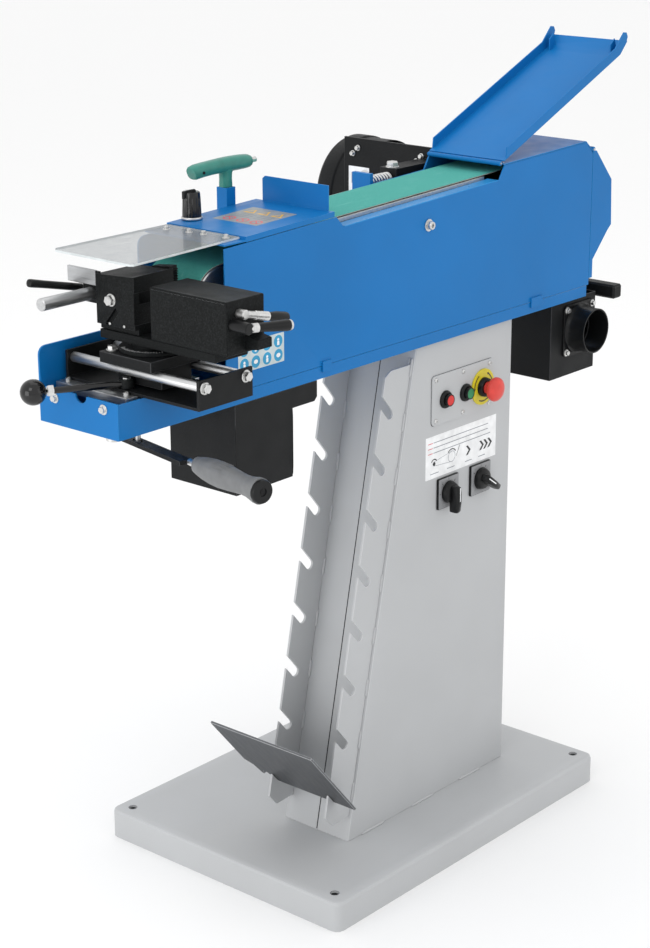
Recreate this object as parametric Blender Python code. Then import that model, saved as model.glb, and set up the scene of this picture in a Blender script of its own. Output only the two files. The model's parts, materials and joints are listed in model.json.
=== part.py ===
"""Belt grinder for notching tubes, on a sheet-steel column.

Frame: metres, +Z up, +X towards the drive wheel at the rear, -Y towards the operator's side.
The origin is the middle of the base plate's underside, on the floor.
Each named object is one physical piece. A moving piece has its origin on its joint's axis.
"""
import bmesh
import bpy
from math import acos, asin, atan2, cos, hypot, pi, radians, sin
from mathutils import Matrix, Vector

# ---------------------------------------------------------------- driving dimensions (metres)
GAP = 0.0003                 # clearance kept between pieces that touch

BASE_LENGTH = 0.694
BASE_WIDTH = 0.500
BASE_HEIGHT = 0.050
SHEET = 0.003                # folded steel sheet of the column and the chassis
THIN_SHEET = 0.002           # covers and dust boxes

COLUMN_NEAR, COLUMN_FAR = -0.131, 0.007      # sides of the column, in Y
COLUMN_REAR = 0.236
COLUMN_FRONT_FOOT = -0.183                   # the front face leans back from here ...
COLUMN_FRONT_TOP = -0.018                    # ... to here
HEAD_BOTTOM = 0.842

HEAD_NEAR, HEAD_FAR = -0.139, 0.015          # sides of the head, in Y
HEAD_FRONT, HEAD_REAR = -0.6635, 0.436
COVER_FRONT, COVER_REAR = -0.454, 0.4415     # side cover, in X
LIP_TOP = 0.8605                             # top of the folded lip under the side cover
COVER_HINGE = (0.0, -0.1410, 0.852)          # lower ends of the side cover's hooks

BELT_Y = -0.062                              # middle plane of the belt
BELT_WIDTH = 0.100
BELT_THICKNESS = 0.0016
ROLLER_X, ROLLER_Z, ROLLER_BELT_R = -0.438, 0.992, 0.048
WHEEL_X, WHEEL_Z, WHEEL_BELT_R = 0.332, 0.9886, 0.1008
ROLLER_R = 0.0452
WHEEL_R = 0.0978
KNOB_X, KNOB_Y = -0.375, -0.001              # belt tracking knob
KEY_X, KEY_Y, SOCKET_TOP = -0.2755, 0.026, 1.110
CREST_X, CREST_Z = -0.190, 1.0701           # outer side of the belt where the grinding table lifts it
PULLEY_WIDTH = 0.104

RAIL_NEAR_Y, RAIL_FAR_Y = -0.124, -0.004     # middle planes of the notched rails
RAIL_WIDTH = 0.062
RAIL_THICKNESS = 0.004
NOTCHES = 8
NOTCH_PITCH = 0.0872
NOTCH_FIRST_Z = 0.134
NOTCH_R = 0.008
NOTCH_ANGLE = radians(50)                    # the slot climbs outwards at this angle

FLAP_HINGE_X, FLAP_HINGE_Z = 0.187, 1.1015
FLAP_LENGTH = 0.383
FLAP_OPEN = radians(23)
REAR_HINGE_X, REAR_HINGE_Z = 0.4475, 1.0955

SWIVEL_X, SWIVEL_Y = -0.5725, -0.118         # vertical axis of the vise
LEVER_X, LEVER_Y, LEVER_Z = -0.5424, 0.0, 0.800
LEVER_ANGLE = radians(11)                    # the feed lever leans this far from -Y towards -X
PIN_ARM = 0.062                              # from the lever's pivot to the carriage pin, in -Y
CLAMP_X, CLAMP_Y, CLAMP_Z = -0.6114, -0.104, 0.905
JAW_FOOT = 0.9713                            # underside of both jaws, on the bed
SPINDLE_X, SPINDLE_Z = -0.596, 1.012          # the moving jaw's spindle
JAW_NEAR = -0.287                            # near face of the moving jaw

BUTTON_Z = 0.742
STOP_X, START_X, E_STOP_X = 0.054, 0.1065, 0.152
SWITCHES = ((0.064, 0.585), (0.1505, 0.586))
PANEL_FRONT = COLUMN_NEAR - GAP - 0.002      # outer face of the control plate

MOTOR_R = 0.088
FAN_COVER_R = 0.098
ROCKER_X, ROCKER_Z = WHEEL_X, 0.848
NOZZLE_X, NOZZLE_Z = 0.428, 0.787
SPRING_Y, SPRING_Z = 0.0392, 1.067


# ---------------------------------------------------------------- materials
def material(name, colour, roughness, metallic=0.0, alpha=1.0):
    made = bpy.data.materials.get(name)
    if made:
        return made
    made = bpy.data.materials.new(name)
    made.use_nodes = True
    shader = made.node_tree.nodes["Principled BSDF"]
    shader.inputs["Base Color"].default_value = (*colour, 1.0)
    shader.inputs["Roughness"].default_value = roughness
    shader.inputs["Metallic"].default_value = metallic
    shader.inputs["Alpha"].default_value = alpha
    return made


def blue_paint():
    return material("blue_paint", (0.025, 0.17, 0.51), 0.38)


def grey_paint():
    return material("grey_paint", (0.62, 0.64, 0.66), 0.42)


def black_paint():
    return material("black_paint", (0.022, 0.023, 0.025), 0.5)


def dark_steel():
    return material("dark_steel", (0.13, 0.13, 0.14), 0.45, 0.9)


def bright_steel():
    return material("bright_steel", (0.55, 0.55, 0.56), 0.28, 1.0)


def green_abrasive():
    return material("green_abrasive", (0.03, 0.4, 0.29), 0.9)


def black_plastic():
    return material("black_plastic", (0.02, 0.02, 0.022), 0.4)


def grey_plastic():
    return material("grey_plastic", (0.22, 0.23, 0.24), 0.55)


def green_plastic():
    return material("green_plastic", (0.03, 0.27, 0.2), 0.4)


def red_plastic():
    return material("red_plastic", (0.6, 0.02, 0.02), 0.3)


def go_green():
    return material("go_green", (0.01, 0.35, 0.06), 0.3)


def yellow_plastic():
    return material("yellow_plastic", (0.85, 0.62, 0.02), 0.35)


def clear_sheet():
    return material("clear_sheet", (0.75, 0.78, 0.8), 0.1, 0.0, 0.35)


# ---------------------------------------------------------------- building blocks
AXIS_MAP = {
    "X": lambda a, b, along: (along, a, b),      # outline is (y, z)
    "Y": lambda a, b, along: (a, along, b),      # outline is (x, z)
    "Z": lambda a, b, along: (a, b, along),      # outline is (x, y)
}


def to_object(name, mesh_data, paint, smooth=False):
    bmesh.ops.recalc_face_normals(mesh_data, faces=mesh_data.faces)
    mesh = bpy.data.meshes.new(name)
    mesh_data.to_mesh(mesh)
    mesh_data.free()
    mesh.materials.append(paint)
    made = bpy.data.objects.new(name, mesh)
    bpy.context.scene.collection.objects.link(made)
    if smooth:
        mesh.shade_smooth()
        mesh.set_sharp_from_angle(angle=radians(35))
    return made


def prism(name, outline, axis, low, high, paint):
    """A flat outline pushed along an axis."""
    place = AXIS_MAP[axis]
    data = bmesh.new()
    bottom = [data.verts.new(place(a, b, low)) for a, b in outline]
    top = [data.verts.new(place(a, b, high)) for a, b in outline]
    data.faces.new(bottom)
    data.faces.new(top)
    count = len(outline)
    for i in range(count):
        j = (i + 1) % count
        data.faces.new((bottom[i], bottom[j], top[j], top[i]))
    return to_object(name, data, paint)


def block(name, x, y, z, paint, edge=0.0):
    """A box from its X, Y and Z ranges, with all its edges rounded by edge."""
    data = bmesh.new()
    bmesh.ops.create_cube(data, size=1.0)
    size = Matrix.Diagonal((x[1] - x[0], y[1] - y[0], z[1] - z[0], 1.0))
    middle = Vector(((x[0] + x[1]) / 2, (y[0] + y[1]) / 2, (z[0] + z[1]) / 2))
    bmesh.ops.transform(data, matrix=Matrix.Translation(middle) @ size, verts=data.verts)
    if edge:
        bmesh.ops.bevel(data, geom=data.edges[:], offset=edge, segments=1, affect="EDGES")
    return to_object(name, data, paint)


def turned(name, profile, centre, axis, paint, steps=24):
    """Profile points (radius, distance along the axis) spun about the axis through centre.

    A profile that starts and ends on the axis is solid; any other is closed on itself as a ring."""
    direction = Vector(axis).normalized()
    side = direction.orthogonal().normalized()
    other = direction.cross(side)
    data = bmesh.new()
    rings = []
    for radius, along in profile:
        at = Vector(centre) + direction * along
        if radius == 0.0:
            rings.append([data.verts.new(at)])
            continue
        ring = []
        for i in range(steps):
            turn = 2 * pi * i / steps
            ring.append(data.verts.new(at + radius * (cos(turn) * side + sin(turn) * other)))
        rings.append(ring)
    pairs = list(zip(rings, rings[1:]))
    if len(rings[0]) > 1 and len(rings[-1]) > 1:
        pairs.append((rings[-1], rings[0]))
    for first, second in pairs:
        for i in range(steps):
            j = (i + 1) % steps
            corners = [first[i % len(first)], first[j % len(first)]]
            corners += [second[j % len(second)], second[i % len(second)]]
            unique = list(dict.fromkeys(corners))
            if len(unique) > 2:
                data.faces.new(unique)
    return to_object(name, data, paint, smooth=True)


def rod(name, start, end, radius, paint, steps=16):
    axis = Vector(end) - Vector(start)
    profile = [(0.0, 0.0), (radius, 0.0), (radius, axis.length), (0.0, axis.length)]
    return turned(name, profile, start, axis, paint, steps)


def combine(target, tools, operation):
    """Boolean the tools into the target, and remove them."""
    for tool in tools:
        modifier = target.modifiers.new(tool.name, "BOOLEAN")
        modifier.operation = operation
        modifier.solver = "EXACT"
        modifier.object = tool
    bpy.context.view_layer.update()
    evaluated = target.evaluated_get(bpy.context.evaluated_depsgraph_get())
    result = bpy.data.meshes.new_from_object(evaluated)
    target.modifiers.clear()
    target.data = result
    target.data.name = target.name
    for tool in tools:
        bpy.data.objects.remove(tool)
    return target


def cut(target, *tools):
    return combine(target, tools, "DIFFERENCE")


def weld(target, *tools):
    return combine(target, tools, "UNION")


def hang_on(piece, point):
    """Put the piece's origin on its joint's axis, without moving the piece."""
    piece.data.transform(Matrix.Translation(-Vector(point)))
    piece.location = point
    return piece


def bevel_where(piece, chosen, offset):
    """Round the edges for which chosen is true."""
    data = bmesh.new()
    data.from_mesh(piece.data)
    edges = [edge for edge in data.edges if chosen(edge)]
    bmesh.ops.bevel(data, geom=edges, offset=offset, segments=2, profile=0.5, affect="EDGES")
    data.to_mesh(piece.data)
    data.free()


def rounded_rectangle(x, z, radius, steps=4):
    corners = ((x[1], z[1], 0), (x[0], z[1], 90), (x[0], z[0], 180), (x[1], z[0], 270))
    points = []
    for cx, cz, start in corners:
        inner_x = cx - radius if cx == x[1] else cx + radius
        inner_z = cz - radius if cz == z[1] else cz + radius
        for i in range(steps + 1):
            turn = radians(start + 90 * i / steps)
            points.append((inner_x + radius * cos(turn), inner_z + radius * sin(turn)))
    return points


def arc(centre, radius, start, stop, steps):
    """Points on an arc, angles in radians."""
    turns = [start + (stop - start) * i / steps for i in range(steps + 1)]
    return [(centre[0] + radius * cos(t), centre[1] + radius * sin(t)) for t in turns]


# ---------------------------------------------------------------- shared lines of the shape
def column_face_x(z):
    """X of the column's leaning front face at height z."""
    lean = (COLUMN_FRONT_TOP - COLUMN_FRONT_FOOT) / (HEAD_BOTTOM - BASE_HEIGHT)
    return COLUMN_FRONT_FOOT + (z - BASE_HEIGHT) * lean


def cover_top_z(x):
    """Top edge of the side panels in front of the finger notch."""
    return 1.068 + (x - COVER_FRONT) * 0.0381


def touching_turn(centre, radius, side):
    """Angle where a line from the belt's crest touches a circle; side is 1 in front of it, -1 behind."""
    away = atan2(CREST_Z - centre[1], CREST_X - centre[0])
    return away + side * acos(radius / hypot(CREST_X - centre[0], CREST_Z - centre[1]))


def belt_run_z(x):
    """Outer surface of the belt's straight run from the crest to the drive wheel."""
    turn = touching_turn((WHEEL_X, WHEEL_Z), WHEEL_BELT_R, -1)
    end_x = WHEEL_X + WHEEL_BELT_R * cos(turn)
    end_z = WHEEL_Z + WHEEL_BELT_R * sin(turn)
    return CREST_Z + (x - CREST_X) * (end_z - CREST_Z) / (end_x - CREST_X)


def panel_top():
    """Top edge shared by the near cover and the far wall, from the rear to the front."""
    return [(0.420, 1.106), (0.192, 1.098), (0.178, 1.076), (-0.201, 1.060), (-0.218, 1.077)]


# ---------------------------------------------------------------- stand
def base_plate():
    half_x, half_y = BASE_LENGTH / 2, BASE_WIDTH / 2
    outline = rounded_rectangle((-half_x, half_x), (-half_y, half_y), 0.014, 3)
    plate = prism("base_plate", outline, "Z", 0.0, BASE_HEIGHT, grey_paint())
    bevel_where(plate, lambda edge: all(v.co.z > 0.04 for v in edge.verts), 0.006)
    wall, rib = 0.007, 0.010
    tools = []
    for side in (-1, 1):
        x = sorted((side * rib, side * (half_x - wall)))
        inner = rounded_rectangle(x, (-half_y + wall, half_y - wall), 0.008, 2)
        tools.append(prism("pocket", inner, "Z", -0.01, BASE_HEIGHT - 0.005, grey_paint()))
    for x in (-0.322, 0.322):
        for y in (-0.222, 0.222):
            tools.append(rod("anchor_hole", (x, y, 0.03), (x, y, 0.07), 0.006, grey_paint(), 12))
    return cut(plate, *tools)


def column_shell():
    foot, top = BASE_HEIGHT + GAP, HEAD_BOTTOM - GAP
    outline = [(column_face_x(foot), foot), (COLUMN_REAR, foot)]
    outline += [(COLUMN_REAR, top), (column_face_x(top), top)]
    shell = prism("column_shell", outline, "Y", COLUMN_NEAR, COLUMN_FAR, grey_paint())
    bevel_where(shell, lambda edge: abs(edge.verts[0].co.z - edge.verts[1].co.z) > 0.5, 0.005)
    low, high = foot - 0.02, top + 0.02
    slant = SHEET + 0.0001
    inner = [(column_face_x(low) + slant, low), (COLUMN_REAR - SHEET, low)]
    inner += [(COLUMN_REAR - SHEET, high), (column_face_x(high) + slant, high)]
    hollow = prism("hollow", inner, "Y", COLUMN_NEAR + SHEET, COLUMN_FAR - SHEET, grey_paint())
    window = block("window", (0.040, 0.168), (-0.14, -0.12), (0.718, 0.769), grey_paint())
    tools = [hollow, window]
    for x, z in SWITCHES:
        tools.append(rod("switch_hole", (x, -0.14, z), (x, -0.12, z), 0.012, grey_paint(), 12))
    gland = rod("gland_hole", (0.22, BELT_Y, 0.115), (0.25, BELT_Y, 0.115), 0.0085, grey_paint(), 12)
    return cut(shell, *tools, gland)


def notch_points(number):
    """One hook notch of a rail, from its lower lip to its upper corner on the outer edge."""
    centre_z = NOTCH_FIRST_Z + number * NOTCH_PITCH
    centre = (column_face_x(centre_z) - 0.038, centre_z)
    up_x, up_z = -cos(NOTCH_ANGLE), sin(NOTCH_ANGLE)
    lean = (COLUMN_FRONT_TOP - COLUMN_FRONT_FOOT) / (HEAD_BOTTOM - BASE_HEIGHT)

    def on_outer_edge(side):
        x = centre[0] + side * NOTCH_R * sin(NOTCH_ANGLE)
        z = centre[1] + side * NOTCH_R * cos(NOTCH_ANGLE)
        reach = (column_face_x(z) - RAIL_WIDTH - x) / (up_x - lean * up_z)
        return (x + reach * up_x, z + reach * up_z)

    start = pi + pi / 2 - NOTCH_ANGLE
    bottom = arc(centre, NOTCH_R, start, start + pi, 6)
    return [on_outer_edge(-1)] + bottom + [on_outer_edge(1)]


def rail(name, y):
    clear = 0.0008
    low, high = 0.110, 0.806
    outline = [(column_face_x(0.092) - clear, 0.092), (column_face_x(low) - 0.044, 0.090)]
    outline.append((column_face_x(low) - RAIL_WIDTH, low))
    for number in range(NOTCHES):
        outline += notch_points(number)
    outline.append((column_face_x(high) - RAIL_WIDTH, high))
    outline.append((column_face_x(high + 0.008) - RAIL_WIDTH + 0.012, high + 0.008))
    outline.append((column_face_x(high + 0.008) - clear, high + 0.008))
    half = RAIL_THICKNESS / 2
    return prism(name, outline, "Y", y - half, y + half, grey_paint())


def support_plate():
    """Loose plate hung in the lowest notches of both rails."""
    thick, length = 0.004, 0.165
    centre_z = NOTCH_FIRST_Z
    up = Vector((-cos(NOTCH_ANGLE), 0.0, sin(NOTCH_ANGLE)))
    normal = Vector((sin(NOTCH_ANGLE), 0.0, cos(NOTCH_ANGLE)))
    foot = Vector((column_face_x(centre_z) - 0.038, 0.0, centre_z)) - normal * (NOTCH_R - 0.0026)
    outline = [(-0.168, 0.0), (-0.001, 0.0), (0.007, 0.020), (0.015, 0.024)]
    outline += [(0.021, 0.008), (0.025, 0.010), (0.030, 0.034), (0.044, 0.046)]
    outline += [(0.044, length), (-0.168, length)]
    data = bmesh.new()
    rings = []
    for offset in (-thick / 2, thick / 2):
        ring = []
        for y, along in outline:
            ring.append(data.verts.new(foot + up * along + normal * offset + Vector((0.0, y, 0.0))))
        rings.append(ring)
        data.faces.new(ring)
    for i in range(len(outline)):
        j = (i + 1) % len(outline)
        data.faces.new((rings[0][i], rings[0][j], rings[1][j], rings[1][i]))
    plate = to_object("support_plate", data, dark_steel())
    return hang_on(plate, foot)


def cable_gland():
    profile = [(0.0045, 0.0), (0.0045, 0.020), (0.008, 0.020), (0.008, 0.014)]
    profile += [(0.012, 0.013), (0.012, 0.0053), (0.008, 0.0053), (0.008, 0.0)]
    at = (COLUMN_REAR - 0.005, BELT_Y, 0.115)
    return turned("cable_gland", profile, at, (1, 0, 0), black_plastic(), 12)


# ---------------------------------------------------------------- controls
def control_plate():
    outline = rounded_rectangle((0.0205, 0.180), (0.7035, 0.785), 0.006, 3)
    plate = prism("control_plate", outline, "Y", PANEL_FRONT, COLUMN_NEAR - GAP, grey_paint())
    holes = []
    for x, radius in ((STOP_X, 0.0114), (START_X, 0.0114), (E_STOP_X, 0.0114)):
        start, end = (x, -0.14, BUTTON_Z), (x, -0.12, BUTTON_Z)
        holes.append(rod("button_hole", start, end, radius, grey_paint(), 16))
    return cut(plate, *holes)


def push_button(name, x, paint):
    """A chromed bezel with a barrel through the plate, and the cap that slides in it."""
    face = PANEL_FRONT - GAP
    bezel_profile = [(0.0103, 0.026), (0.0103, -0.005), (0.0128, -0.0055), (0.0145, -0.0035)]
    bezel_profile += [(0.0145, 0.0), (0.0110, 0.0), (0.0110, 0.026)]
    bezel_at = (x, face, BUTTON_Z)
    bezel = turned(name + "_bezel", bezel_profile, bezel_at, (0, 1, 0), black_plastic(), 20)
    cap_profile = [(0.0, -0.0115), (0.0085, -0.0115), (0.0099, -0.010), (0.0099, 0.010), (0.0, 0.010)]
    cap = turned(name + "_button", cap_profile, bezel_at, (0, 1, 0), paint, 20)
    return bezel, hang_on(cap, bezel_at)


def emergency_stop():
    face = PANEL_FRONT - GAP
    at = (E_STOP_X, face, BUTTON_Z)
    collar_profile = [(0.0103, 0.022), (0.0103, -0.011), (0.0165, -0.011), (0.0290, -0.006)]
    collar_profile += [(0.0300, -0.004), (0.0300, 0.0), (0.0110, 0.0), (0.0110, 0.022)]
    collar = turned("e_stop_collar", collar_profile, at, (0, 1, 0), yellow_plastic(), 28)
    head_profile = [(0.0, -0.036), (0.010, -0.0355), (0.0175, -0.033), (0.0200, -0.029)]
    head_profile += [(0.0200, -0.024), (0.0165, -0.0185), (0.0098, -0.018), (0.0098, 0.012), (0.0, 0.012)]
    head = turned("e_stop_button", head_profile, at, (0, 1, 0), red_plastic(), 24)
    return collar, hang_on(head, at)


def rotary_switch(number, x, z, lever_turn):
    """A square legend plate, and a knob whose grip points down at lever_turn 0."""
    face = COLUMN_NEAR - GAP
    outline = rounded_rectangle((x - 0.027, x + 0.027), (z - 0.026, z + 0.026), 0.004, 2)
    plate = prism("switch_plate_%d" % number, outline, "Y", face - 0.004, face, grey_plastic())
    cut(plate, rod("bore", (x, -0.15, z), (x, -0.12, z), 0.0056, grey_plastic(), 12))
    front = face - 0.004 - GAP
    profile = [(0.0, -0.010), (0.0165, -0.009), (0.0185, 0.0), (0.005, 0.0), (0.005, 0.018), (0.0, 0.018)]
    knob = turned("switch_knob_%d" % number, profile, (x, front, z), (0, 1, 0), black_plastic(), 20)
    grip = [(-0.0065, 0.013), (0.0065, 0.013), (0.0050, -0.033), (-0.0050, -0.033)]
    bar = prism("grip", grip, "Y", front - 0.024, front - 0.006, black_plastic())
    bar.data.transform(Matrix.Rotation(lever_turn, 4, "Y"))
    bar.data.transform(Matrix.Translation((x, 0.0, z)))
    weld(knob, bar)
    return plate, hang_on(knob, (x, front, z))


# ---------------------------------------------------------------- head
def head_frame():
    bottom_top = HEAD_BOTTOM + SHEET
    inner_near, inner_far = HEAD_NEAR + SHEET, HEAD_FAR - SHEET
    front_in = HEAD_FRONT + SHEET
    paint = blue_paint()
    x = (HEAD_FRONT, HEAD_REAR)
    frame = block("head_frame", x, (HEAD_NEAR, HEAD_FAR), (HEAD_BOTTOM, bottom_top), paint)
    lip = block("lip", (COVER_FRONT - 0.004, HEAD_REAR), (HEAD_NEAR, inner_near), (HEAD_BOTTOM, LIP_TOP), paint)
    near_outline = [(HEAD_FRONT, HEAD_BOTTOM), (COVER_FRONT - GAP, HEAD_BOTTOM), (COVER_FRONT - GAP, 0.898)]
    near_outline += [(-0.470, 0.892), (HEAD_FRONT, 0.892)]
    near_wall = prism("near_wall", near_outline, "Y", HEAD_NEAR, inner_near, paint)
    front_outline = [(HEAD_NEAR, HEAD_BOTTOM), (HEAD_FAR, HEAD_BOTTOM), (HEAD_FAR, 0.893)]
    front_outline += arc((-0.068, 0.893), 0.011, 0.0, -pi, 8)
    front_outline += [(HEAD_NEAR, 0.893)]
    front_wall = prism("front_wall", front_outline, "X", HEAD_FRONT, front_in, paint)
    far_outline = [(HEAD_FRONT, HEAD_BOTTOM), (HEAD_REAR, HEAD_BOTTOM), (HEAD_REAR, 1.092)]
    far_outline += panel_top()
    far_outline += arc((-0.456, 1.054), 0.014, pi / 2, pi, 4)
    far_outline += [(-0.470, 0.947)] + arc((HEAD_FRONT + 0.012, 0.935), 0.012, pi / 2, pi, 4)
    far_wall = prism("far_wall", far_outline, "Y", inner_far, HEAD_FAR, paint)
    ways = []
    for y in ((-0.130, -0.112), (-0.012, 0.006)):
        ways.append(block("slide_way", (-0.655, -0.475), y, (bottom_top - 0.001, 0.8815), paint))
    spring_bracket = block("spring_bracket", (0.048, 0.056), (HEAD_FAR - 0.001, 0.056), (1.047, 1.0650), paint)
    spring_seat = block("spring_seat", (0.048, 0.056), (HEAD_FAR + 0.004, 0.056), (1.060, 1.0855), paint)
    stud = rod("stud", (0.050, SPRING_Y, SPRING_Z), (0.098, SPRING_Y, SPRING_Z), 0.0050, paint, 12)
    weld(frame, lip, near_wall, front_wall, far_wall, *ways)
    socket_x = (KEY_X - 0.0095, KEY_X + 0.0095)
    socket = block("key_socket", socket_x, (HEAD_FAR + 0.0005, KEY_Y + 0.0095), (1.046, SOCKET_TOP), paint)
    weld_pad = block("pad", (KEY_X - 0.008, KEY_X + 0.008), (HEAD_FAR - 0.001, HEAD_FAR + 0.002), (1.048, 1.068), paint)
    weld(socket, weld_pad)
    weld(frame, socket)
    weld(frame, spring_bracket, spring_seat, stud)
    shaft = [(a, b) for a, b in arc((WHEEL_X, WHEEL_Z), 0.020, -pi / 2, pi / 2, 6)]
    shaft += [(a, b) for a, b in arc((WHEEL_X - 0.012, WHEEL_Z), 0.020, pi / 2, 3 * pi / 2, 6)]
    tools = [prism("shaft_slot", shaft, "Y", 0.0, 0.03, paint)]
    tools.append(rod("axle_hole", (ROLLER_X, 0.0, ROLLER_Z), (ROLLER_X, 0.03, ROLLER_Z), 0.0065, paint, 12))
    tools.append(block("front_chute", (-0.422, -0.334), (-0.122, -0.024), (0.83, 0.86), paint))
    hole_x, hole_y = (KEY_X - 0.0075, KEY_X + 0.0075), (KEY_Y - 0.0075, KEY_Y + 0.0075)
    tools.append(block("key_hole", hole_x, hole_y, (1.060, 1.13), paint))
    tools.append(block("rear_chute", (0.358, 0.45), (-0.118, -0.016), (0.83, 0.86), paint))
    tools.append(block("pin_slot", (-0.580, -0.529), (-0.068, -0.056), (0.83, 0.86), paint))
    return cut(frame, *tools)


def side_cover():
    """Removable near side panel, with the finger notch and its inward flange."""
    paint = blue_paint()
    foot = LIP_TOP + 0.0006
    outline = [(COVER_FRONT, foot), (COVER_REAR, foot), (COVER_REAR, 1.086)]
    outline += panel_top() + [(COVER_FRONT, 1.068)]
    cover = prism("side_cover", outline, "Y", HEAD_NEAR, HEAD_NEAR + THIN_SHEET, paint)
    flange = prism("flange", [(-0.200, 1.0575), (0.177, 1.0735), (0.177, 1.0758), (-0.200, 1.0598)],
                   "Y", HEAD_NEAR + 0.0005, HEAD_NEAR + 0.013, paint)
    parts = [flange]
    for x in ((-0.252, -0.233), (0.272, 0.303)):
        parts.append(block("hook_top", x, (HEAD_NEAR - 0.003, HEAD_NEAR + 0.001), (foot + 0.0004, 0.868), paint))
        parts.append(block("hook", x, (HEAD_NEAR - 0.003, HEAD_NEAR - 0.0005), (0.852, 0.8635), paint))
    weld(cover, *parts)
    cut(cover, rod("screw_hole", (-0.002, -0.15, 1.032), (-0.002, -0.13, 1.032), 0.0044, paint, 12))
    return hang_on(cover, COVER_HINGE)


def cover_screw():
    profile = [(0.0, -0.0090), (0.0065, -0.0085), (0.0065, -0.0020), (0.0095, -0.0020)]
    profile += [(0.0095, -GAP), (0.0040, -GAP), (0.0040, 0.0140), (0.0, 0.0140)]
    screw = turned("cover_screw", profile, (-0.002, HEAD_NEAR, 1.032), (0, 1, 0), bright_steel(), 16)
    return hang_on(screw, COVER_HINGE)


def front_top_cover():
    """Folded lid over the contact roller: a shelf for the shield in front, an upright edge behind."""
    paint = blue_paint()
    front, rear, shelf_front = -0.410, -0.222, -0.4535
    shelf = (1.0714, 1.0738)
    lift, height = 0.001, 0.0088
    low_front, low_rear = cover_top_z(front) + lift, cover_top_z(rear) + lift
    top_front, top_rear = cover_top_z(front) + height, cover_top_z(rear) + height
    outline = [(shelf_front, shelf[0]), (front + 0.001, shelf[0]), (front + 0.001, low_front)]
    outline += [(rear, low_rear), (rear, top_rear), (front, top_front)]
    outline += [(front, shelf[1]), (shelf_front, shelf[1])]
    cover = prism("front_top_cover", outline, "Y", HEAD_NEAR, HEAD_FAR, paint)
    inner = [(front + THIN_SHEET, low_front - 0.01), (rear + 0.01, low_front - 0.01)]
    inner += [(rear + 0.01, top_rear - THIN_SHEET + 0.0004), (front + THIN_SHEET, top_front - THIN_SHEET)]
    cut(cover, prism("hollow", inner, "Y", HEAD_NEAR + THIN_SHEET, HEAD_FAR - THIN_SHEET, paint))
    edge_outline = [(-0.1285, top_rear - 0.0014), (0.0, top_rear - 0.0014), (0.0, 1.1185)]
    edge_outline += [(-0.005, 1.1225), (-0.1285, 1.1225)]
    weld(cover, prism("upright_edge", edge_outline, "X", rear - 0.0022, rear - 0.0002, paint))
    return cut(cover, rod("stud_hole", (KNOB_X, KNOB_Y, 1.06), (KNOB_X, KNOB_Y, 1.09), 0.0046, paint, 12))


def tracking_knob():
    at = (KNOB_X, KNOB_Y, 1.0807)
    profile = [(0.0, -0.012), (0.004, -0.012), (0.004, 0.0), (0.0155, 0.0), (0.0155, 0.004)]
    profile += [(0.0142, 0.0045), (0.0130, 0.037), (0.0118, 0.0395), (0.0, 0.0395)]
    knob = turned("tracking_knob", profile, at, (0, 0, 1), black_plastic(), 20)
    y, z = (KNOB_Y - 0.003, KNOB_Y + 0.003), (at[2] + 0.031, at[2] + 0.043)
    weld(knob, block("pointer", (KNOB_X - 0.018, KNOB_X), y, z, black_plastic()))
    return hang_on(knob, at)


def hex_key():
    """Hex key standing in its socket: a tee handle over a blade."""
    x, y, top = KEY_X, KEY_Y, SOCKET_TOP
    stem = [(0.0, GAP), (0.0095, GAP), (0.0100, 0.010), (0.0108, 0.022), (0.0, 0.030)]
    handle = turned("hex_key_handle", stem, (x, y, top), (0, 0, 1), green_plastic(), 16)
    bar = [(0.0, -0.0755), (0.0105, -0.0755), (0.0115, -0.050), (0.0115, 0.030), (0.0118, 0.045)]
    bar += [(0.0085, 0.052), (0.0045, 0.052), (0.0045, 0.065), (0.0, 0.065)]
    weld(handle, turned("bar", bar, (x, y, top + 0.033), (1, 0, -0.02), green_plastic(), 16))
    blade = rod("hex_key_blade", (x, y, top - 0.038), (x, y, top), 0.0045, bright_steel(), 6)
    return hang_on(handle, (x, y, top)), hang_on(blade, (x, y, top))


def spark_shield():
    outline = [(-0.6290, -0.1426), (-0.4105, -0.127), (-0.4105, 0.008), (-0.4140, 0.012), (-0.6250, 0.012)]
    outline += [(-0.6330, 0.004), (-0.6330, -0.1386)]
    return prism("spark_shield", outline, "Z", 1.0740, 1.0770, clear_sheet())


def rear_top_cover():
    """Cover over the drive wheel, with the flap's hinge barrel at its front edge."""
    paint = blue_paint()
    under, thick = 0.0004, 0.0018
    outline = [(0.1895, 1.0980 + under), (0.420, 1.106 + under), (0.4390, 1.0898 + under)]
    outline += [(0.4404, 1.0912 + under), (0.4205, 1.1078 + under), (0.1895, 1.0980 + under + thick)]
    cover = prism("rear_top_cover", outline, "Y", HEAD_NEAR, HEAD_FAR, paint)
    barrel = rod("barrel", (FLAP_HINGE_X, HEAD_NEAR + 0.004, FLAP_HINGE_Z - 0.0005),
                 (FLAP_HINGE_X, HEAD_FAR - 0.004, FLAP_HINGE_Z - 0.0005), 0.0036, paint, 12)
    return weld(cover, barrel)


def flap_point(along, above):
    """World (x, z) of a point in the open flap: along its plate, and above its upper face."""
    x = FLAP_HINGE_X + along * cos(FLAP_OPEN) - above * sin(FLAP_OPEN)
    z = FLAP_HINGE_Z + along * sin(FLAP_OPEN) + above * cos(FLAP_OPEN)
    return x, z


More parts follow.
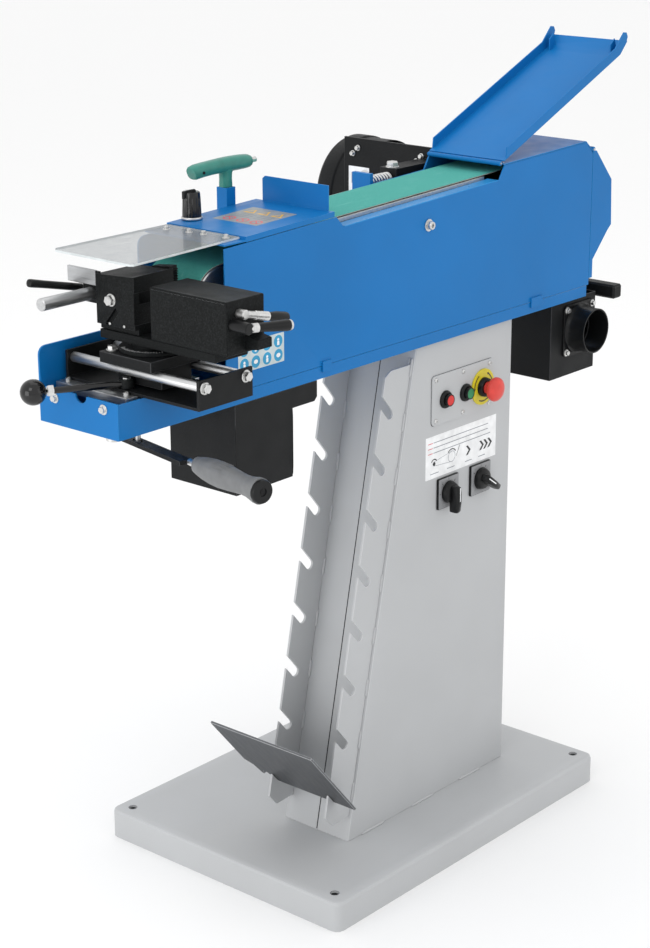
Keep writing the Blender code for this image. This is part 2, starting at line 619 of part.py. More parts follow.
def top_flap():
    """Tray-shaped lid over the finger notch, standing open, with its end bent up."""
    paint = blue_paint()
    near, far = HEAD_NEAR + 0.002, HEAD_FAR - 0.002
    bend, tip = FLAP_LENGTH - 0.026, FLAP_LENGTH
    plate_side = [(0.006, 0.0), (bend, 0.0), (tip, 0.011), (tip - 0.0008, 0.0128), (bend, 0.002), (0.006, 0.002)]
    flap = prism("top_flap", [flap_point(a, b) for a, b in plate_side], "Y", near, far, paint)
    side = [(0.013, 0.0005), (bend, 0.0005), (tip - 0.002, 0.0112)]
    side += [(tip + 0.004, 0.018), (tip + 0.003, 0.026), (tip - 0.004, 0.030)]
    side += [(bend - 0.010, 0.0165), (0.022, 0.0165)]
    side_outline = [flap_point(a, b) for a, b in side]
    walls = [prism("wall", side_outline, "Y", near, near + THIN_SHEET, paint)]
    walls.append(prism("wall", side_outline, "Y", far - THIN_SHEET, far, paint))
    for y in ((near + 0.012, near + 0.014), (far - 0.014, far - 0.012)):
        tab = [(bend - 0.012, 0.0005), (bend + 0.008, 0.0030), (bend + 0.010, 0.024), (bend - 0.004, 0.020)]
        walls.append(prism("tab", [flap_point(a, b) for a, b in tab], "Y", y[0], y[1], paint))
    weld(flap, *walls)
    return hang_on(flap, (FLAP_HINGE_X, BELT_Y, FLAP_HINGE_Z))


def rear_cover():
    """Faceted hood behind the drive wheel, hung from a hinge barrel along its top edge."""
    paint = blue_paint()
    front = COVER_REAR + 0.0012
    outline = [(front, 0.872), (0.452, 0.872), (0.452, 0.903), (0.494, 0.947), (0.505, 0.956)]
    outline += [(0.501, 1.034), (0.4530, 1.0885), (front, 1.0895)]
    hood = prism("rear_cover", outline, "Y", HEAD_NEAR, HEAD_FAR, paint)
    inner = [(front - 0.01, 0.86), (0.450, 0.86), (0.450, 0.9038), (0.4926, 0.9484), (0.5029, 0.9570)]
    inner += [(0.4989, 1.0332), (0.4518, 1.0865), (front - 0.01, 1.0875)]
    hollow = prism("hollow", inner, "Y", HEAD_NEAR + THIN_SHEET, HEAD_FAR - THIN_SHEET, paint)
    cut(hood, hollow)
    start = (REAR_HINGE_X, HEAD_NEAR + 0.002, REAR_HINGE_Z - 0.0045)
    end = (REAR_HINGE_X, HEAD_FAR - 0.002, REAR_HINGE_Z - 0.0045)
    weld(hood, rod("barrel", start, end, 0.0042, paint, 12))
    return hang_on(hood, (REAR_HINGE_X, BELT_Y, REAR_HINGE_Z - 0.0045))


# ---------------------------------------------------------------- extraction
def front_dust_box():
    paint = black_paint()
    x, y = (-0.438, -0.317), (HEAD_NEAR, -0.008)
    low, high = 0.707, HEAD_BOTTOM - GAP
    box = block("front_dust_box", x, y, (low, high), paint)
    tab = [(-0.330, 0.811), (-0.268, 0.811), (-0.262, 0.817), (-0.262, high), (-0.330, high)]
    weld(box, prism("tab", tab, "Y", y[0], y[0] + THIN_SHEET, paint))
    inner_x = (x[0] + THIN_SHEET, x[1] - THIN_SHEET)
    inner_y = (y[0] + THIN_SHEET, y[1] - THIN_SHEET)
    return cut(box, block("hollow", inner_x, inner_y, (low + THIN_SHEET, high + 0.02), paint))


def rear_dust_box():
    paint = black_paint()
    x, y = (0.349, 0.480), (-0.129, -0.005)
    low, high = 0.708, HEAD_BOTTOM - GAP
    box = block("rear_dust_box", x, y, (low, high), paint)
    inner_x = (x[0] + THIN_SHEET, x[1] - THIN_SHEET)
    inner_y = (y[0] + THIN_SHEET, y[1] - THIN_SHEET)
    hollow = block("hollow", inner_x, inner_y, (low + THIN_SHEET, high + 0.02), paint)
    port = rod("port", (NOZZLE_X, -0.14, NOZZLE_Z), (NOZZLE_X, -0.12, NOZZLE_Z), 0.034, paint, 24)
    return cut(box, hollow, port)


def dust_nozzle():
    face = -0.129 - GAP
    outline = rounded_rectangle((NOZZLE_X - 0.045, NOZZLE_X + 0.045), (NOZZLE_Z - 0.045, NOZZLE_Z + 0.045), 0.008, 3)
    nozzle = prism("dust_nozzle", outline, "Y", face - 0.003, face, black_plastic())
    at = (NOZZLE_X, face, NOZZLE_Z)
    profile = [(0.0, -0.0015), (0.041, -0.0015), (0.0385, -0.010), (0.0385, -0.038), (0.0, -0.038)]
    weld(nozzle, turned("spout", profile, at, (0, 1, 0), black_plastic(), 28))
    bore = rod("bore", (NOZZLE_X, -0.19, NOZZLE_Z), (NOZZLE_X, -0.10, NOZZLE_Z), 0.0360, black_plastic(), 28)
    return cut(nozzle, bore)


# ---------------------------------------------------------------- belt and drive
def belt_loop(offset, roller_steps=16, wheel_steps=24):
    """Outline of the belt, offset inwards, as (x, z) points."""
    roller, wheel = (ROLLER_X, ROLLER_Z), (WHEEL_X, WHEEL_Z)
    tilt = atan2(WHEEL_Z - ROLLER_Z, WHEEL_X - ROLLER_X)
    distance = hypot(WHEEL_X - ROLLER_X, WHEEL_Z - ROLLER_Z)
    lower = tilt - pi / 2 - asin((WHEEL_BELT_R - ROLLER_BELT_R) / distance)
    front_turn = touching_turn(roller, ROLLER_BELT_R, 1)
    rear_turn = touching_turn(wheel, WHEEL_BELT_R, -1)
    front = arc(roller, ROLLER_BELT_R - offset, front_turn, lower + 2 * pi, roller_steps)
    rear = arc(wheel, WHEEL_BELT_R - offset, lower, rear_turn, wheel_steps)
    return front + rear + [(CREST_X, CREST_Z - offset)]


def abrasive_belt():
    low, high = BELT_Y - BELT_WIDTH / 2, BELT_Y + BELT_WIDTH / 2
    outer, inner = belt_loop(0.0), belt_loop(BELT_THICKNESS)
    data = bmesh.new()
    loops = []
    for outline, y in ((outer, low), (outer, high), (inner, high), (inner, low)):
        loops.append([data.verts.new((x, y, z)) for x, z in outline])
    for first, second in zip(loops, loops[1:] + loops[:1]):
        for i in range(len(first)):
            j = (i + 1) % len(first)
            data.faces.new((first[i], first[j], second[j], second[i]))
    return to_object("abrasive_belt", data, green_abrasive(), smooth=True)


def contact_roller():
    half = PULLEY_WIDTH / 2
    profile = [(0.0125, -half), (ROLLER_R - 0.002, -half), (ROLLER_R, -half + 0.002)]
    profile += [(ROLLER_R, half - 0.002), (ROLLER_R - 0.002, half), (0.0125, half)]
    at = (ROLLER_X, BELT_Y, ROLLER_Z)
    roller = turned("contact_roller", profile, at, (0, 1, 0), dark_steel(), 28)
    return hang_on(roller, at)


def roller_axle():
    """Cantilever axle: nut outside the far wall, flange inside it, and a retaining ring at the near end."""
    wall_in, wall_out = HEAD_FAR - SHEET, HEAD_FAR
    near_end = BELT_Y - PULLEY_WIDTH / 2
    profile = [(0.0, near_end - 0.008), (0.009, near_end - 0.008), (0.009, near_end - 0.005)]
    profile += [(0.0135, near_end - 0.005), (0.0135, near_end - GAP), (0.0118, near_end - GAP)]
    profile += [(0.0118, -0.0095), (0.022, -0.0090), (0.022, wall_in - GAP), (0.006, wall_in - GAP)]
    profile += [(0.006, wall_out + GAP), (0.011, wall_out + GAP), (0.011, wall_out + 0.009), (0.0, wall_out + 0.009)]
    return turned("roller_axle", profile, (ROLLER_X, 0.0, ROLLER_Z), (0, 1, 0), bright_steel(), 16)


def drive_wheel():
    half = PULLEY_WIDTH / 2
    bore, hub, rim = 0.0124, 0.026, WHEEL_R - 0.009
    profile = [(bore, -half), (hub, -half), (hub, -0.008), (rim, -0.008), (rim, -half), (WHEEL_R - 0.002, -half)]
    profile += [(WHEEL_R, -half + 0.002), (WHEEL_R, half - 0.002), (WHEEL_R - 0.002, half), (rim, half)]
    profile += [(rim, 0.008), (hub, 0.008), (hub, half), (bore, half)]
    at = (WHEEL_X, BELT_Y, WHEEL_Z)
    return hang_on(turned("drive_wheel", profile, at, (0, 1, 0), dark_steel(), 40), at)


def motor_shaft():
    near_end = BELT_Y - PULLEY_WIDTH / 2
    profile = [(0.0, near_end - 0.006), (0.018, near_end - 0.006), (0.018, near_end - GAP)]
    profile += [(0.0120, near_end - GAP), (0.0120, 0.070), (0.0, 0.070)]
    at = (WHEEL_X, 0.0, WHEEL_Z)
    return hang_on(turned("motor_shaft", profile, at, (0, 1, 0), bright_steel(), 16), (WHEEL_X, BELT_Y, WHEEL_Z))


def motor_body():
    paint = black_paint()
    at = (WHEEL_X, 0.0, WHEEL_Z)
    profile = [(0.0126, 0.026), (0.050, 0.026), (0.070, 0.032), (0.092, 0.036), (0.092, 0.048), (MOTOR_R, 0.050)]
    profile += [(MOTOR_R, 0.204), (0.0905, 0.206), (0.0905, 0.2115), (0.0, 0.2115), (0.0, 0.075), (0.0126, 0.075)]
    body = turned("motor_body", profile, at, (0, 1, 0), paint, 32)
    foot = block("foot", (0.2306, 0.262), (0.052, 0.190), (0.926, 1.051), paint)
    box_x = WHEEL_X + MOTOR_R
    terminals = block("terminals", (box_x - 0.012, box_x + 0.040), (0.075, 0.165), (0.945, 1.032), paint, 0.004)
    weld(body, foot, terminals)
    return hang_on(body, (ROCKER_X, 0.020, ROCKER_Z))


def fan_cover():
    """Pressed cowl over the fan, open towards the motor, with a bead near its end."""
    start = 0.2120
    profile = [(FAN_COVER_R - 0.0045, start), (FAN_COVER_R - 0.0025, start), (FAN_COVER_R - 0.0025, 0.262)]
    profile += [(FAN_COVER_R, 0.264), (FAN_COVER_R, 0.292), (FAN_COVER_R - 0.010, 0.300), (0.0, 0.300)]
    profile += [(0.0, 0.298), (FAN_COVER_R - 0.011, 0.298), (FAN_COVER_R - 0.002, 0.291)]
    profile += [(FAN_COVER_R - 0.002, 0.265), (FAN_COVER_R - 0.0045, 0.263)]
    cover = turned_cup("fan_cover", profile, (WHEEL_X, 0.0, WHEEL_Z), black_paint())
    return hang_on(cover, (ROCKER_X, 0.020, ROCKER_Z))


def turned_cup(name, profile, centre, paint):
    """A turned shell whose profile touches the axis in its middle, so that it closes as a cup."""
    middle = next(i for i, point in enumerate(profile) if point[0] == 0.0)
    outer, inner = profile[:middle + 1], profile[middle + 1:]
    solid = [(0.0, outer[0][1])] + outer
    body = turned(name, solid, centre, (0, 1, 0), paint, 32)
    start = outer[0][1] - 0.01
    hollow = [(0.0, start), (inner[-1][0], start)] + list(reversed(inner))
    return cut(body, turned("hollow", hollow, centre, (0, 1, 0), paint, 32))


def motor_plate():
    """Swinging plate that carries the motor: face plate, foot, pivot barrel and spring arm."""
    paint = black_paint()
    front, back = 0.2253, 0.2303
    near, far = 0.0185, 0.223
    plate = block("motor_plate", (front, back), (near, far), (0.851, 1.103), paint)
    foot = block("foot", (front + 0.001, ROCKER_X + 0.012), (near + 0.001, 0.199), (0.853, 0.860), paint)
    barrel = rod("barrel", (ROCKER_X, near, ROCKER_Z), (ROCKER_X, 0.200, ROCKER_Z), 0.0085, paint, 16)
    arm = block("arm", (0.1180, front + 0.002), (0.0225, 0.0560), (1.050, 1.084), paint)
    weld(plate, foot, barrel, arm)
    cut(plate, rod("bore", (ROCKER_X, 0.0, ROCKER_Z), (ROCKER_X, 0.30, ROCKER_Z), 0.0046, paint, 12))
    return hang_on(plate, (ROCKER_X, 0.020, ROCKER_Z))


def release_bar():
    """Bar across the rear: pulling it up swings the motor forward and slackens the belt."""
    paint = black_paint()
    bar = block("release_bar", (0.503, 0.527), (-0.152, 0.046), (0.826, 0.850), paint, 0.003)
    arm = block("arm", (ROCKER_X + 0.0125, 0.512), (0.0225, 0.0425), (0.8455, 0.8535), paint)
    cut(arm, rod("clear", (ROCKER_X, 0.0, ROCKER_Z), (ROCKER_X, 0.06, ROCKER_Z), 0.0128, paint, 16))
    weld(bar, arm)
    return hang_on(bar, (ROCKER_X, 0.020, ROCKER_Z))


def rocker_pin():
    wall = HEAD_FAR + GAP
    profile = [(0.0, wall), (0.008, wall), (0.008, wall + 0.0025), (0.0042, wall + 0.0025), (0.0042, 0.2005)]
    profile += [(0.0070, 0.2005), (0.0070, 0.2060), (0.0, 0.2060)]
    return turned("rocker_pin", profile, (ROCKER_X, 0.0, ROCKER_Z), (0, 1, 0), bright_steel(), 12)


def tension_spring():
    """Envelope of the coil spring between the stud's bracket and the motor plate's arm."""
    profile = [(0.0068, 0.0563), (0.0110, 0.0563), (0.0110, 0.1177), (0.0068, 0.1177)]
    return turned("tension_spring", profile, (0.0, SPRING_Y, SPRING_Z), (1, 0, 0), bright_steel(), 14)


def belt_platen():
    """Steel table under the belt's upper run, carried from the far wall."""
    x = (-0.188, 0.168)
    drop = BELT_THICKNESS + 0.0012
    top = [belt_run_z(x[0]) - drop, belt_run_z(x[1]) - drop]
    outline = [(x[0], top[0] - 0.006), (x[1], top[1] - 0.006), (x[1], top[1]), (x[0], top[0])]
    platen = prism("belt_platen", outline, "Y", -0.117, -0.007, bright_steel())
    web = [(-0.120, 1.040), (0.110, 1.040), (0.110, 1.073), (-0.120, 1.0655)]
    return weld(platen, prism("web", web, "Y", -0.040, HEAD_FAR - SHEET - GAP, bright_steel()))


# ---------------------------------------------------------------- carriage
def feed_slide_plate():
    paint = bright_steel()
    plate = block("feed_slide_plate", (-0.640, -0.500), (-0.131, 0.007), (0.8818, 0.8950), paint)
    pin_x = LEVER_X - PIN_ARM * sin(LEVER_ANGLE) / cos(LEVER_ANGLE)
    pin_y = LEVER_Y - PIN_ARM
    weld(plate, rod("pin", (pin_x, pin_y, 0.794), (pin_x, pin_y, 0.884), 0.004, paint, 12))
    return hang_on(plate, (SWIVEL_X, SWIVEL_Y, 0.8885))


def cross_channel():
    paint = black_paint()
    near, far, floor, top = -0.250, 0.004, 0.8953, 0.936
    outline = [(near, floor), (far, floor), (far, top), (far - 0.004, top), (far - 0.004, floor + 0.004)]
    outline += [(near + 0.004, floor + 0.004), (near + 0.004, top), (near, top)]
    channel = prism("cross_channel", outline, "X", -0.623, -0.520, paint)
    holes = [rod("hole", (x, -0.27, 0.925), (x, 0.02, 0.925), 0.0054, paint, 12) for x in (-0.612, -0.533)]
    cut(channel, *holes)
    return hang_on(channel, (SWIVEL_X, SWIVEL_Y, 0.8885))


def guide_rod(name, x):
    """A rod between the channel's ends, with a bolt head outside each end."""
    near, far = -0.250, 0.004
    profile = [(0.0, near - 0.0075), (0.0090, near - 0.0070), (0.0090, near - GAP), (0.0050, near - GAP)]
    profile += [(0.0050, near + 0.0045), (0.0070, near + 0.0045), (0.0070, far - 0.0045), (0.0050, far - 0.0045)]
    profile += [(0.0050, far + GAP), (0.0090, far + GAP), (0.0090, far + 0.0060), (0.0, far + 0.0065)]
    made = turned(name, profile, (x, 0.0, 0.925), (0, 1, 0), bright_steel(), 12)
    return hang_on(made, (SWIVEL_X, SWIVEL_Y, 0.8885))


def slide_block():
    paint = black_paint()
    body = block("slide_block", (-0.6275, -0.5175), (-0.167, -0.069), (0.9324, 0.948), paint)
    weld(body, block("lug", (-0.601, -0.544), (-0.160, -0.076), (0.903, 0.934), paint))
    return hang_on(body, (SWIVEL_X, SWIVEL_Y, 0.940))


def cross_clamp_lever():
    """Ball-ended lever that clamps the slide block on its rods."""
    paint = black_plastic()
    boss = [(0.0, -0.0055), (0.010, -0.0055), (0.010, 0.009), (0.0, 0.009)]
    lever = turned("cross_clamp_lever", boss, (CLAMP_X, CLAMP_Y, CLAMP_Z), (0, 0, 1), paint, 16)
    direction = Vector((-0.866, 0.5, 0.0))
    arm = [(0.0, 0.0), (0.0055, 0.0), (0.0050, 0.060), (0.0046, 0.101), (0.0075, 0.1015), (0.0075, 0.1115)]
    arm += [(0.0135, 0.1160), (0.0172, 0.1225), (0.0180, 0.1280), (0.0172, 0.1335), (0.0135, 0.1400)]
    arm += [(0.0075, 0.1443), (0.0, 0.1458)]
    weld(lever, turned("arm", arm, (CLAMP_X, CLAMP_Y, CLAMP_Z), direction, paint, 16))
    return hang_on(lever, (CLAMP_X, CLAMP_Y, CLAMP_Z))


def vise_base():
    """Graduated swivel disc, its neck, and the bed under both jaws."""
    paint = black_paint()
    profile = [(0.0, 0.9483), (0.048, 0.9483), (0.048, 0.9540), (0.030, 0.9545), (0.030, 0.9600), (0.0, 0.9600)]
    base = turned("vise_base", profile, (SWIVEL_X, SWIVEL_Y, 0.0), (0, 0, 1), paint, 28)
    weld(base, block("bed", (-0.604, -0.541), (-0.262, -0.047), (0.9585, JAW_FOOT - GAP), paint))
    return hang_on(base, (SWIVEL_X, SWIVEL_Y, 0.9483))


def fixed_jaw():
    paint = black_paint()
    front, back = -0.607, -0.532
    outline = [(-0.118, JAW_FOOT), (-0.045, JAW_FOOT), (-0.045, 1.0470), (-0.110, 1.0510), (-0.118, 1.0520)]
    outline += [(-0.118, 1.0300), (-0.101, 1.0080), (-0.118, 0.9860)]
    jaw = prism("fixed_jaw", outline, "X", front, back, paint)
    tooth = prism("tooth", [(-0.112, 1.028), (-0.078, 1.028), (-0.078, 1.0500), (-0.112, 1.0540)],
                  "X", back - 0.002, -0.519, paint)
    holder = block("holder", (-0.602, -0.560), (-0.048, -0.0145), (1.004, 1.0300), paint)
    guard = block("guard", (-0.6066, -0.6035), (-0.052, 0.010), (1.0296, 1.0505), paint)
    weld(jaw, tooth, holder, guard)
    tools = [rod("rod_bore", (-0.62, -0.030, 1.017), (-0.55, -0.030, 1.017), 0.0093, paint, 16)]
    slot_angle = radians(50)
    slot = block("slot", (-0.62, -0.6005), (-0.016, 0.016), (-0.0045, 0.0045), paint)
    slot.data.transform(Matrix.Translation((0.0, -0.074, 0.990)) @ Matrix.Rotation(-slot_angle, 4, "X"))
    tools.append(slot)
    tools.append(block("step", (-0.61, -0.600), (-0.13, -0.03), (0.96, 0.979), paint))
    tools.append(rod("lever_bore", (-0.585, -0.0230, 1.017), (-0.585, -0.0130, 1.017), 0.0042, paint, 12))
    cut(jaw, *tools)
    return hang_on(jaw, (SWIVEL_X, SWIVEL_Y, 0.9483))


def moving_jaw():
    paint = black_paint()
    front, back, inner_end = -0.607, -0.535, -0.1475
    jaw = block("moving_jaw", (front, back), (JAW_NEAR, inner_end), (JAW_FOOT, 1.044), paint, 0.003)
    groove_outline = [(inner_end + 0.007, 1.0310), (inner_end - 0.017, 1.0050), (inner_end + 0.007, 0.9790)]
    groove = prism("groove", groove_outline, "X", -0.594, -0.52, paint)
    lug_outline = [(JAW_NEAR + 0.003, 0.974), (JAW_NEAR - 0.022, 0.978)]
    lug_outline += [(JAW_NEAR - 0.022, 0.991), (JAW_NEAR + 0.003, 0.996)]
    weld(jaw, prism("lug", lug_outline, "X", -0.572, -0.545, paint))
    start, end = (SPINDLE_X, JAW_NEAR - 0.0105, SPINDLE_Z), (SPINDLE_X, JAW_NEAR + 0.010, SPINDLE_Z)
    cut(jaw, groove, rod("spindle_bore", start, end, 0.0090, paint, 16))
    return hang_on(jaw, (SWIVEL_X, JAW_NEAR, 1.005))


def clamp_lever(name, hub, hub_radius, hub_length, handle_at, direction, length):
    """Clamping lever: a hub that turns about -Y at the jaw's near face, and a round handle."""
    profile = [(0.0, 0.0), (hub_radius, 0.0), (hub_radius, hub_length), (0.0, hub_length)]
    lever = turned(name, profile, hub, (0, -1, 0), black_plastic(), 14)
    start = Vector(hub) + Vector((0.0, -handle_at, 0.0))
    shape = [(0.0, 0.0), (0.0055, 0.0), (0.0064, 0.030), (0.0080, length - 0.008), (0.0075, length), (0.0, length)]
    weld(lever, turned("handle", shape, start, direction, black_plastic(), 14))
    return hang_on(lever, hub)


def jaw_lever():
    hub = (SPINDLE_X, JAW_NEAR + 0.0045, SPINDLE_Z)
    return clamp_lever("jaw_lever", hub, 0.0080, 0.0350, 0.0285, (0.970, -0.231, -0.074), 0.070)


def lock_lever():
    hub = (-0.585, JAW_NEAR - GAP, 1.0262)
    return clamp_lever("lock_lever", hub, 0.0065, 0.0142, 0.0075, (0.972, 0.0, -0.234), 0.086)


def stop_rod():
    made = rod("stop_rod", (-0.694, -0.030, 1.017), (-0.546, -0.030, 1.017), 0.0088, bright_steel(), 18)
    return hang_on(made, (-0.694, -0.030, 1.017))


def stop_lever():
    """Small clamping lever at the far side of the stop rod's holder."""
    hub = (-0.585, -0.0142, 1.017)
    profile = [(0.0, -0.0030), (0.0038, -0.0030), (0.0038, 0.0), (0.0090, 0.0), (0.0090, 0.022), (0.0, 0.022)]
    lever = turned("stop_lever", profile, hub, (0, 1, 0), black_plastic(), 14)
    start = Vector(hub) + Vector((0.0, 0.0145, 0.0))
    shape = [(0.0, 0.0), (0.0050, 0.0), (0.0058, 0.030), (0.0056, 0.094), (0.0048, 0.100), (0.0, 0.100)]
    weld(lever, turned("handle", shape, start, (-0.97, 0.05, 0.225), black_plastic(), 14))
    return hang_on(lever, hub)


# ---------------------------------------------------------------- feed lever
def lever_point(along, aside, up=0.0):
    """World point on the feed lever: along it from the pivot, aside towards +X, and up."""
    x = LEVER_X - along * sin(LEVER_ANGLE) + aside * cos(LEVER_ANGLE)
    y = LEVER_Y - along * cos(LEVER_ANGLE) - aside * sin(LEVER_ANGLE)
    return Vector((x, y, LEVER_Z + up))


def feed_lever_arm():
    paint = dark_steel()
    flat = [(0.180, -0.010), (0.180, 0.010)]
    flat += [(-0.014 * cos(t), 0.014 * sin(t)) for t in [radians(45 - 15 * i) for i in range(7)]]
    outline = [tuple(lever_point(a, b)[:2]) for a, b in flat]
    arm = prism("feed_lever_arm", outline, "Z", LEVER_Z - 0.003, LEVER_Z + 0.003, paint)
    start, end = lever_point(0.166, 0.006), lever_point(0.1977, 0.006)
    weld(arm, rod("tang", start, end, 0.0045, paint, 12))
    pivot = rod("pivot_bore", lever_point(0.0, 0.0, -0.02), lever_point(0.0, 0.0, 0.02), 0.0064, paint, 16)
    slot_outline = []
    middle = PIN_ARM / cos(LEVER_ANGLE)
    for centre, start_turn in ((0.005, -90), (-0.005, 90)):
        for i in range(5):
            turn = radians(start_turn + 45 * i)
            point = lever_point(middle + centre + 0.0052 * cos(turn), 0.0052 * sin(turn))
            slot_outline.append(tuple(point[:2]))
    slot = prism("pin_slot", slot_outline, "Z", LEVER_Z - 0.02, LEVER_Z + 0.02, paint)
    cut(arm, pivot, slot)
    return hang_on(arm, (LEVER_X, LEVER_Y, LEVER_Z))


def feed_lever_grip():
    start = lever_point(0.1980, 0.006)
    axis = lever_point(1.0, 0.006) - lever_point(0.0, 0.006)
    profile = [(0.0, 0.0), (0.0105, 0.0), (0.0150, 0.018), (0.0172, 0.045), (0.0160, 0.075)]
    profile += [(0.0132, 0.107), (0.0140, 0.121), (0.0168, 0.134), (0.0168, 0.147), (0.0150, 0.150), (0.0, 0.150)]
    grip = turned("feed_lever_grip", profile, start, axis, grey_plastic(), 20)
    return hang_on(grip, (LEVER_X, LEVER_Y, LEVER_Z))


def lever_pivot():
    """Shouldered stud under the trough that the feed lever turns on."""
    low = LEVER_Z - 0.003
    profile = [(0.0, 0.788), (0.011, 0.788), (0.011, low - GAP), (0.006, low - GAP), (0.006, LEVER_Z + 0.0033)]
    profile += [(0.010, LEVER_Z + 0.0033), (0.010, HEAD_BOTTOM - GAP), (0.0, HEAD_BOTTOM - GAP)]
    return turned("lever_pivot", profile, (LEVER_X, LEVER_Y, 0.0), (0, 0, 1), bright_steel(), 14)


# ---------------------------------------------------------------- assembly
def clear_scene():
    for item in list(bpy.data.objects):
        bpy.data.objects.remove(item)


def build():
    clear_scene()
    base_plate()
    column_shell()
    rail("rail_near", RAIL_NEAR_Y)
    rail("rail_far", RAIL_FAR_Y)
    support_plate()
    cable_gland()
    control_plate()
    push_button("stop", STOP_X, red_plastic())
    push_button("start", START_X, go_green())
    emergency_stop()
    for number, (spot, turn) in enumerate(zip(SWITCHES, (0.0, radians(-55))), start=1):
        rotary_switch(number, spot[0], spot[1], turn)
    head_frame()
    side_cover()
    cover_screw()
    front_top_cover()
    tracking_knob()
    hex_key()
    spark_shield()
    rear_top_cover()
    top_flap()
    rear_cover()
    front_dust_box()
    rear_dust_box()
    dust_nozzle()
    abrasive_belt()
    contact_roller()
    roller_axle()
    drive_wheel()
    motor_shaft()
    motor_body()
    fan_cover()
    motor_plate()
    release_bar()
    rocker_pin()
    tension_spring()
    belt_platen()
    feed_slide_plate()
    cross_channel()
    guide_rod("guide_rod_front", -0.612)
    guide_rod("guide_rod_rear", -0.533)
    slide_block()
    cross_clamp_lever()
    vise_base()
    fixed_jaw()
    moving_jaw()
    jaw_lever()
    lock_lever()
    stop_rod()
    stop_lever()
    feed_lever_arm()
    feed_lever_grip()
    lever_pivot()


build()
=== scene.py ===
"""Looks of the belt grinder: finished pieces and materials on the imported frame, in a pale studio.

Metres, +Z up, +X towards the drive wheel at the rear, -Y towards the operator's side.
"""
import json
from math import acos, asin, atan2, cos, hypot, pi, radians, sin

import bmesh
import bpy
from mathutils import Matrix, Vector


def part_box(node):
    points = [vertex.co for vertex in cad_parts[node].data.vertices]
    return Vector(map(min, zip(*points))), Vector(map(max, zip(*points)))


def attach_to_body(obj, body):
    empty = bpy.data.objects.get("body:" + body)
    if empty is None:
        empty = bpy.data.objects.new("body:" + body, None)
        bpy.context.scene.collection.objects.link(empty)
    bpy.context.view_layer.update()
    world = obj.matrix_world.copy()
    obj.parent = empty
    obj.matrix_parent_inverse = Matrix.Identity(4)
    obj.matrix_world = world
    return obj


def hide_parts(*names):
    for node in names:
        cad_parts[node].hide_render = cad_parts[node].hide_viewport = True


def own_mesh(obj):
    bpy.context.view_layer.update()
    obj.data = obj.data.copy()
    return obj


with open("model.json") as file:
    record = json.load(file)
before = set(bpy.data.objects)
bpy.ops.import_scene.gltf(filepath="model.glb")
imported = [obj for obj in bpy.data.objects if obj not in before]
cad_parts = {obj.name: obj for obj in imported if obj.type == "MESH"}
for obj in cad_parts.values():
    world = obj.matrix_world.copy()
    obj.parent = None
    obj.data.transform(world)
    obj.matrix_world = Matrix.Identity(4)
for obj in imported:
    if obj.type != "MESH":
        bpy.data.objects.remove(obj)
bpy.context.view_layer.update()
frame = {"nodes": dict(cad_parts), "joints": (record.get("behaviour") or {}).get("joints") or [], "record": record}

BODY_OF = {n: body for body, nodes in frame["record"]["behaviour"]["bodies"].items() for n in nodes}
SLOT_OF = {part["node"]: part["material_slot"] for part in frame["record"]["subparts"]}
PIVOT = {joint["name"]: Vector(joint["pos_m"]) for joint in frame["joints"] if joint["type"] == "hinge"}

X_AXIS, Y_AXIS, Z_AXIS = Vector((1, 0, 0)), Vector((0, 1, 0)), Vector((0, 0, 1))
HEAD_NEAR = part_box("head_frame")[0].y          # near face of the head and of the side cover
HEAD_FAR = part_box("front_top_cover")[1].y
COLUMN_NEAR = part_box("column_shell")[0].y
BELT_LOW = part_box("abrasive_belt")[0].y
BELT_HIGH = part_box("abrasive_belt")[1].y
LID_FRONT, LID_REAR = -0.41, -0.222            # ends of the front top cover, behind its shelf
PROUD = 0.0002                                 # how far the column's seam stands off its face
FILM = 0.00012                                 # thickness of one printed layer
ANCHOR_X, ANCHOR_Y = 0.322, 0.222              # anchor holes of the base plate
WELD_START, WELD_PITCH, WELD_LENGTH = 0.118, 0.0845, 0.03
MERGE_DISTANCE, FLAT_ANGLE = 2e-6, radians(0.3)


# ---------------------------------------------------------------- materials
def principled(name, colour, roughness, metallic=0, shine=0.5):
    made = bpy.data.materials.new(name)
    made.use_nodes = True
    shader = made.node_tree.nodes["Principled BSDF"]
    shader.inputs["Base Color"].default_value = (*colour, 1.0)
    shader.inputs["Roughness"].default_value = roughness
    shader.inputs["Metallic"].default_value = metallic
    shader.inputs["Specular IOR Level"].default_value = shine
    return made, made.node_tree, shader


def noise(tree, scale, detail=2.0, stretch=(1.0, 1.0, 1.0)):
    """Noise in the row frame, with scale in features per metre."""
    place = tree.nodes.new("ShaderNodeTexCoord")
    mapping = tree.nodes.new("ShaderNodeMapping")
    mapping.inputs["Scale"].default_value = stretch
    texture = tree.nodes.new("ShaderNodeTexNoise")
    texture.inputs["Scale"].default_value = scale
    texture.inputs["Detail"].default_value = detail
    tree.links.new(place.outputs["Object"], mapping.inputs["Vector"])
    tree.links.new(mapping.outputs["Vector"], texture.inputs["Vector"])
    return texture.outputs["Fac"]


def colour_ramp(tree, factor, stops):
    ramp = tree.nodes.new("ShaderNodeValToRGB")
    while len(ramp.color_ramp.elements) < len(stops):
        ramp.color_ramp.elements.new(0.5)
    for element, (position, colour) in zip(ramp.color_ramp.elements, stops):
        element.position = position
        element.color = (*colour, 1.0)
    tree.links.new(factor, ramp.inputs["Fac"])
    return ramp.outputs["Color"]


def spread(tree, factor, low, high):
    """Map a noise value, mostly 0.3 to 0.7, to low .. high."""
    mapped = tree.nodes.new("ShaderNodeMapRange")
    mapped.inputs["From Min"].default_value = 0.3
    mapped.inputs["From Max"].default_value = 0.7
    mapped.inputs["To Min"].default_value = low
    mapped.inputs["To Max"].default_value = high
    tree.links.new(factor, mapped.inputs["Value"])
    return mapped.outputs["Result"]


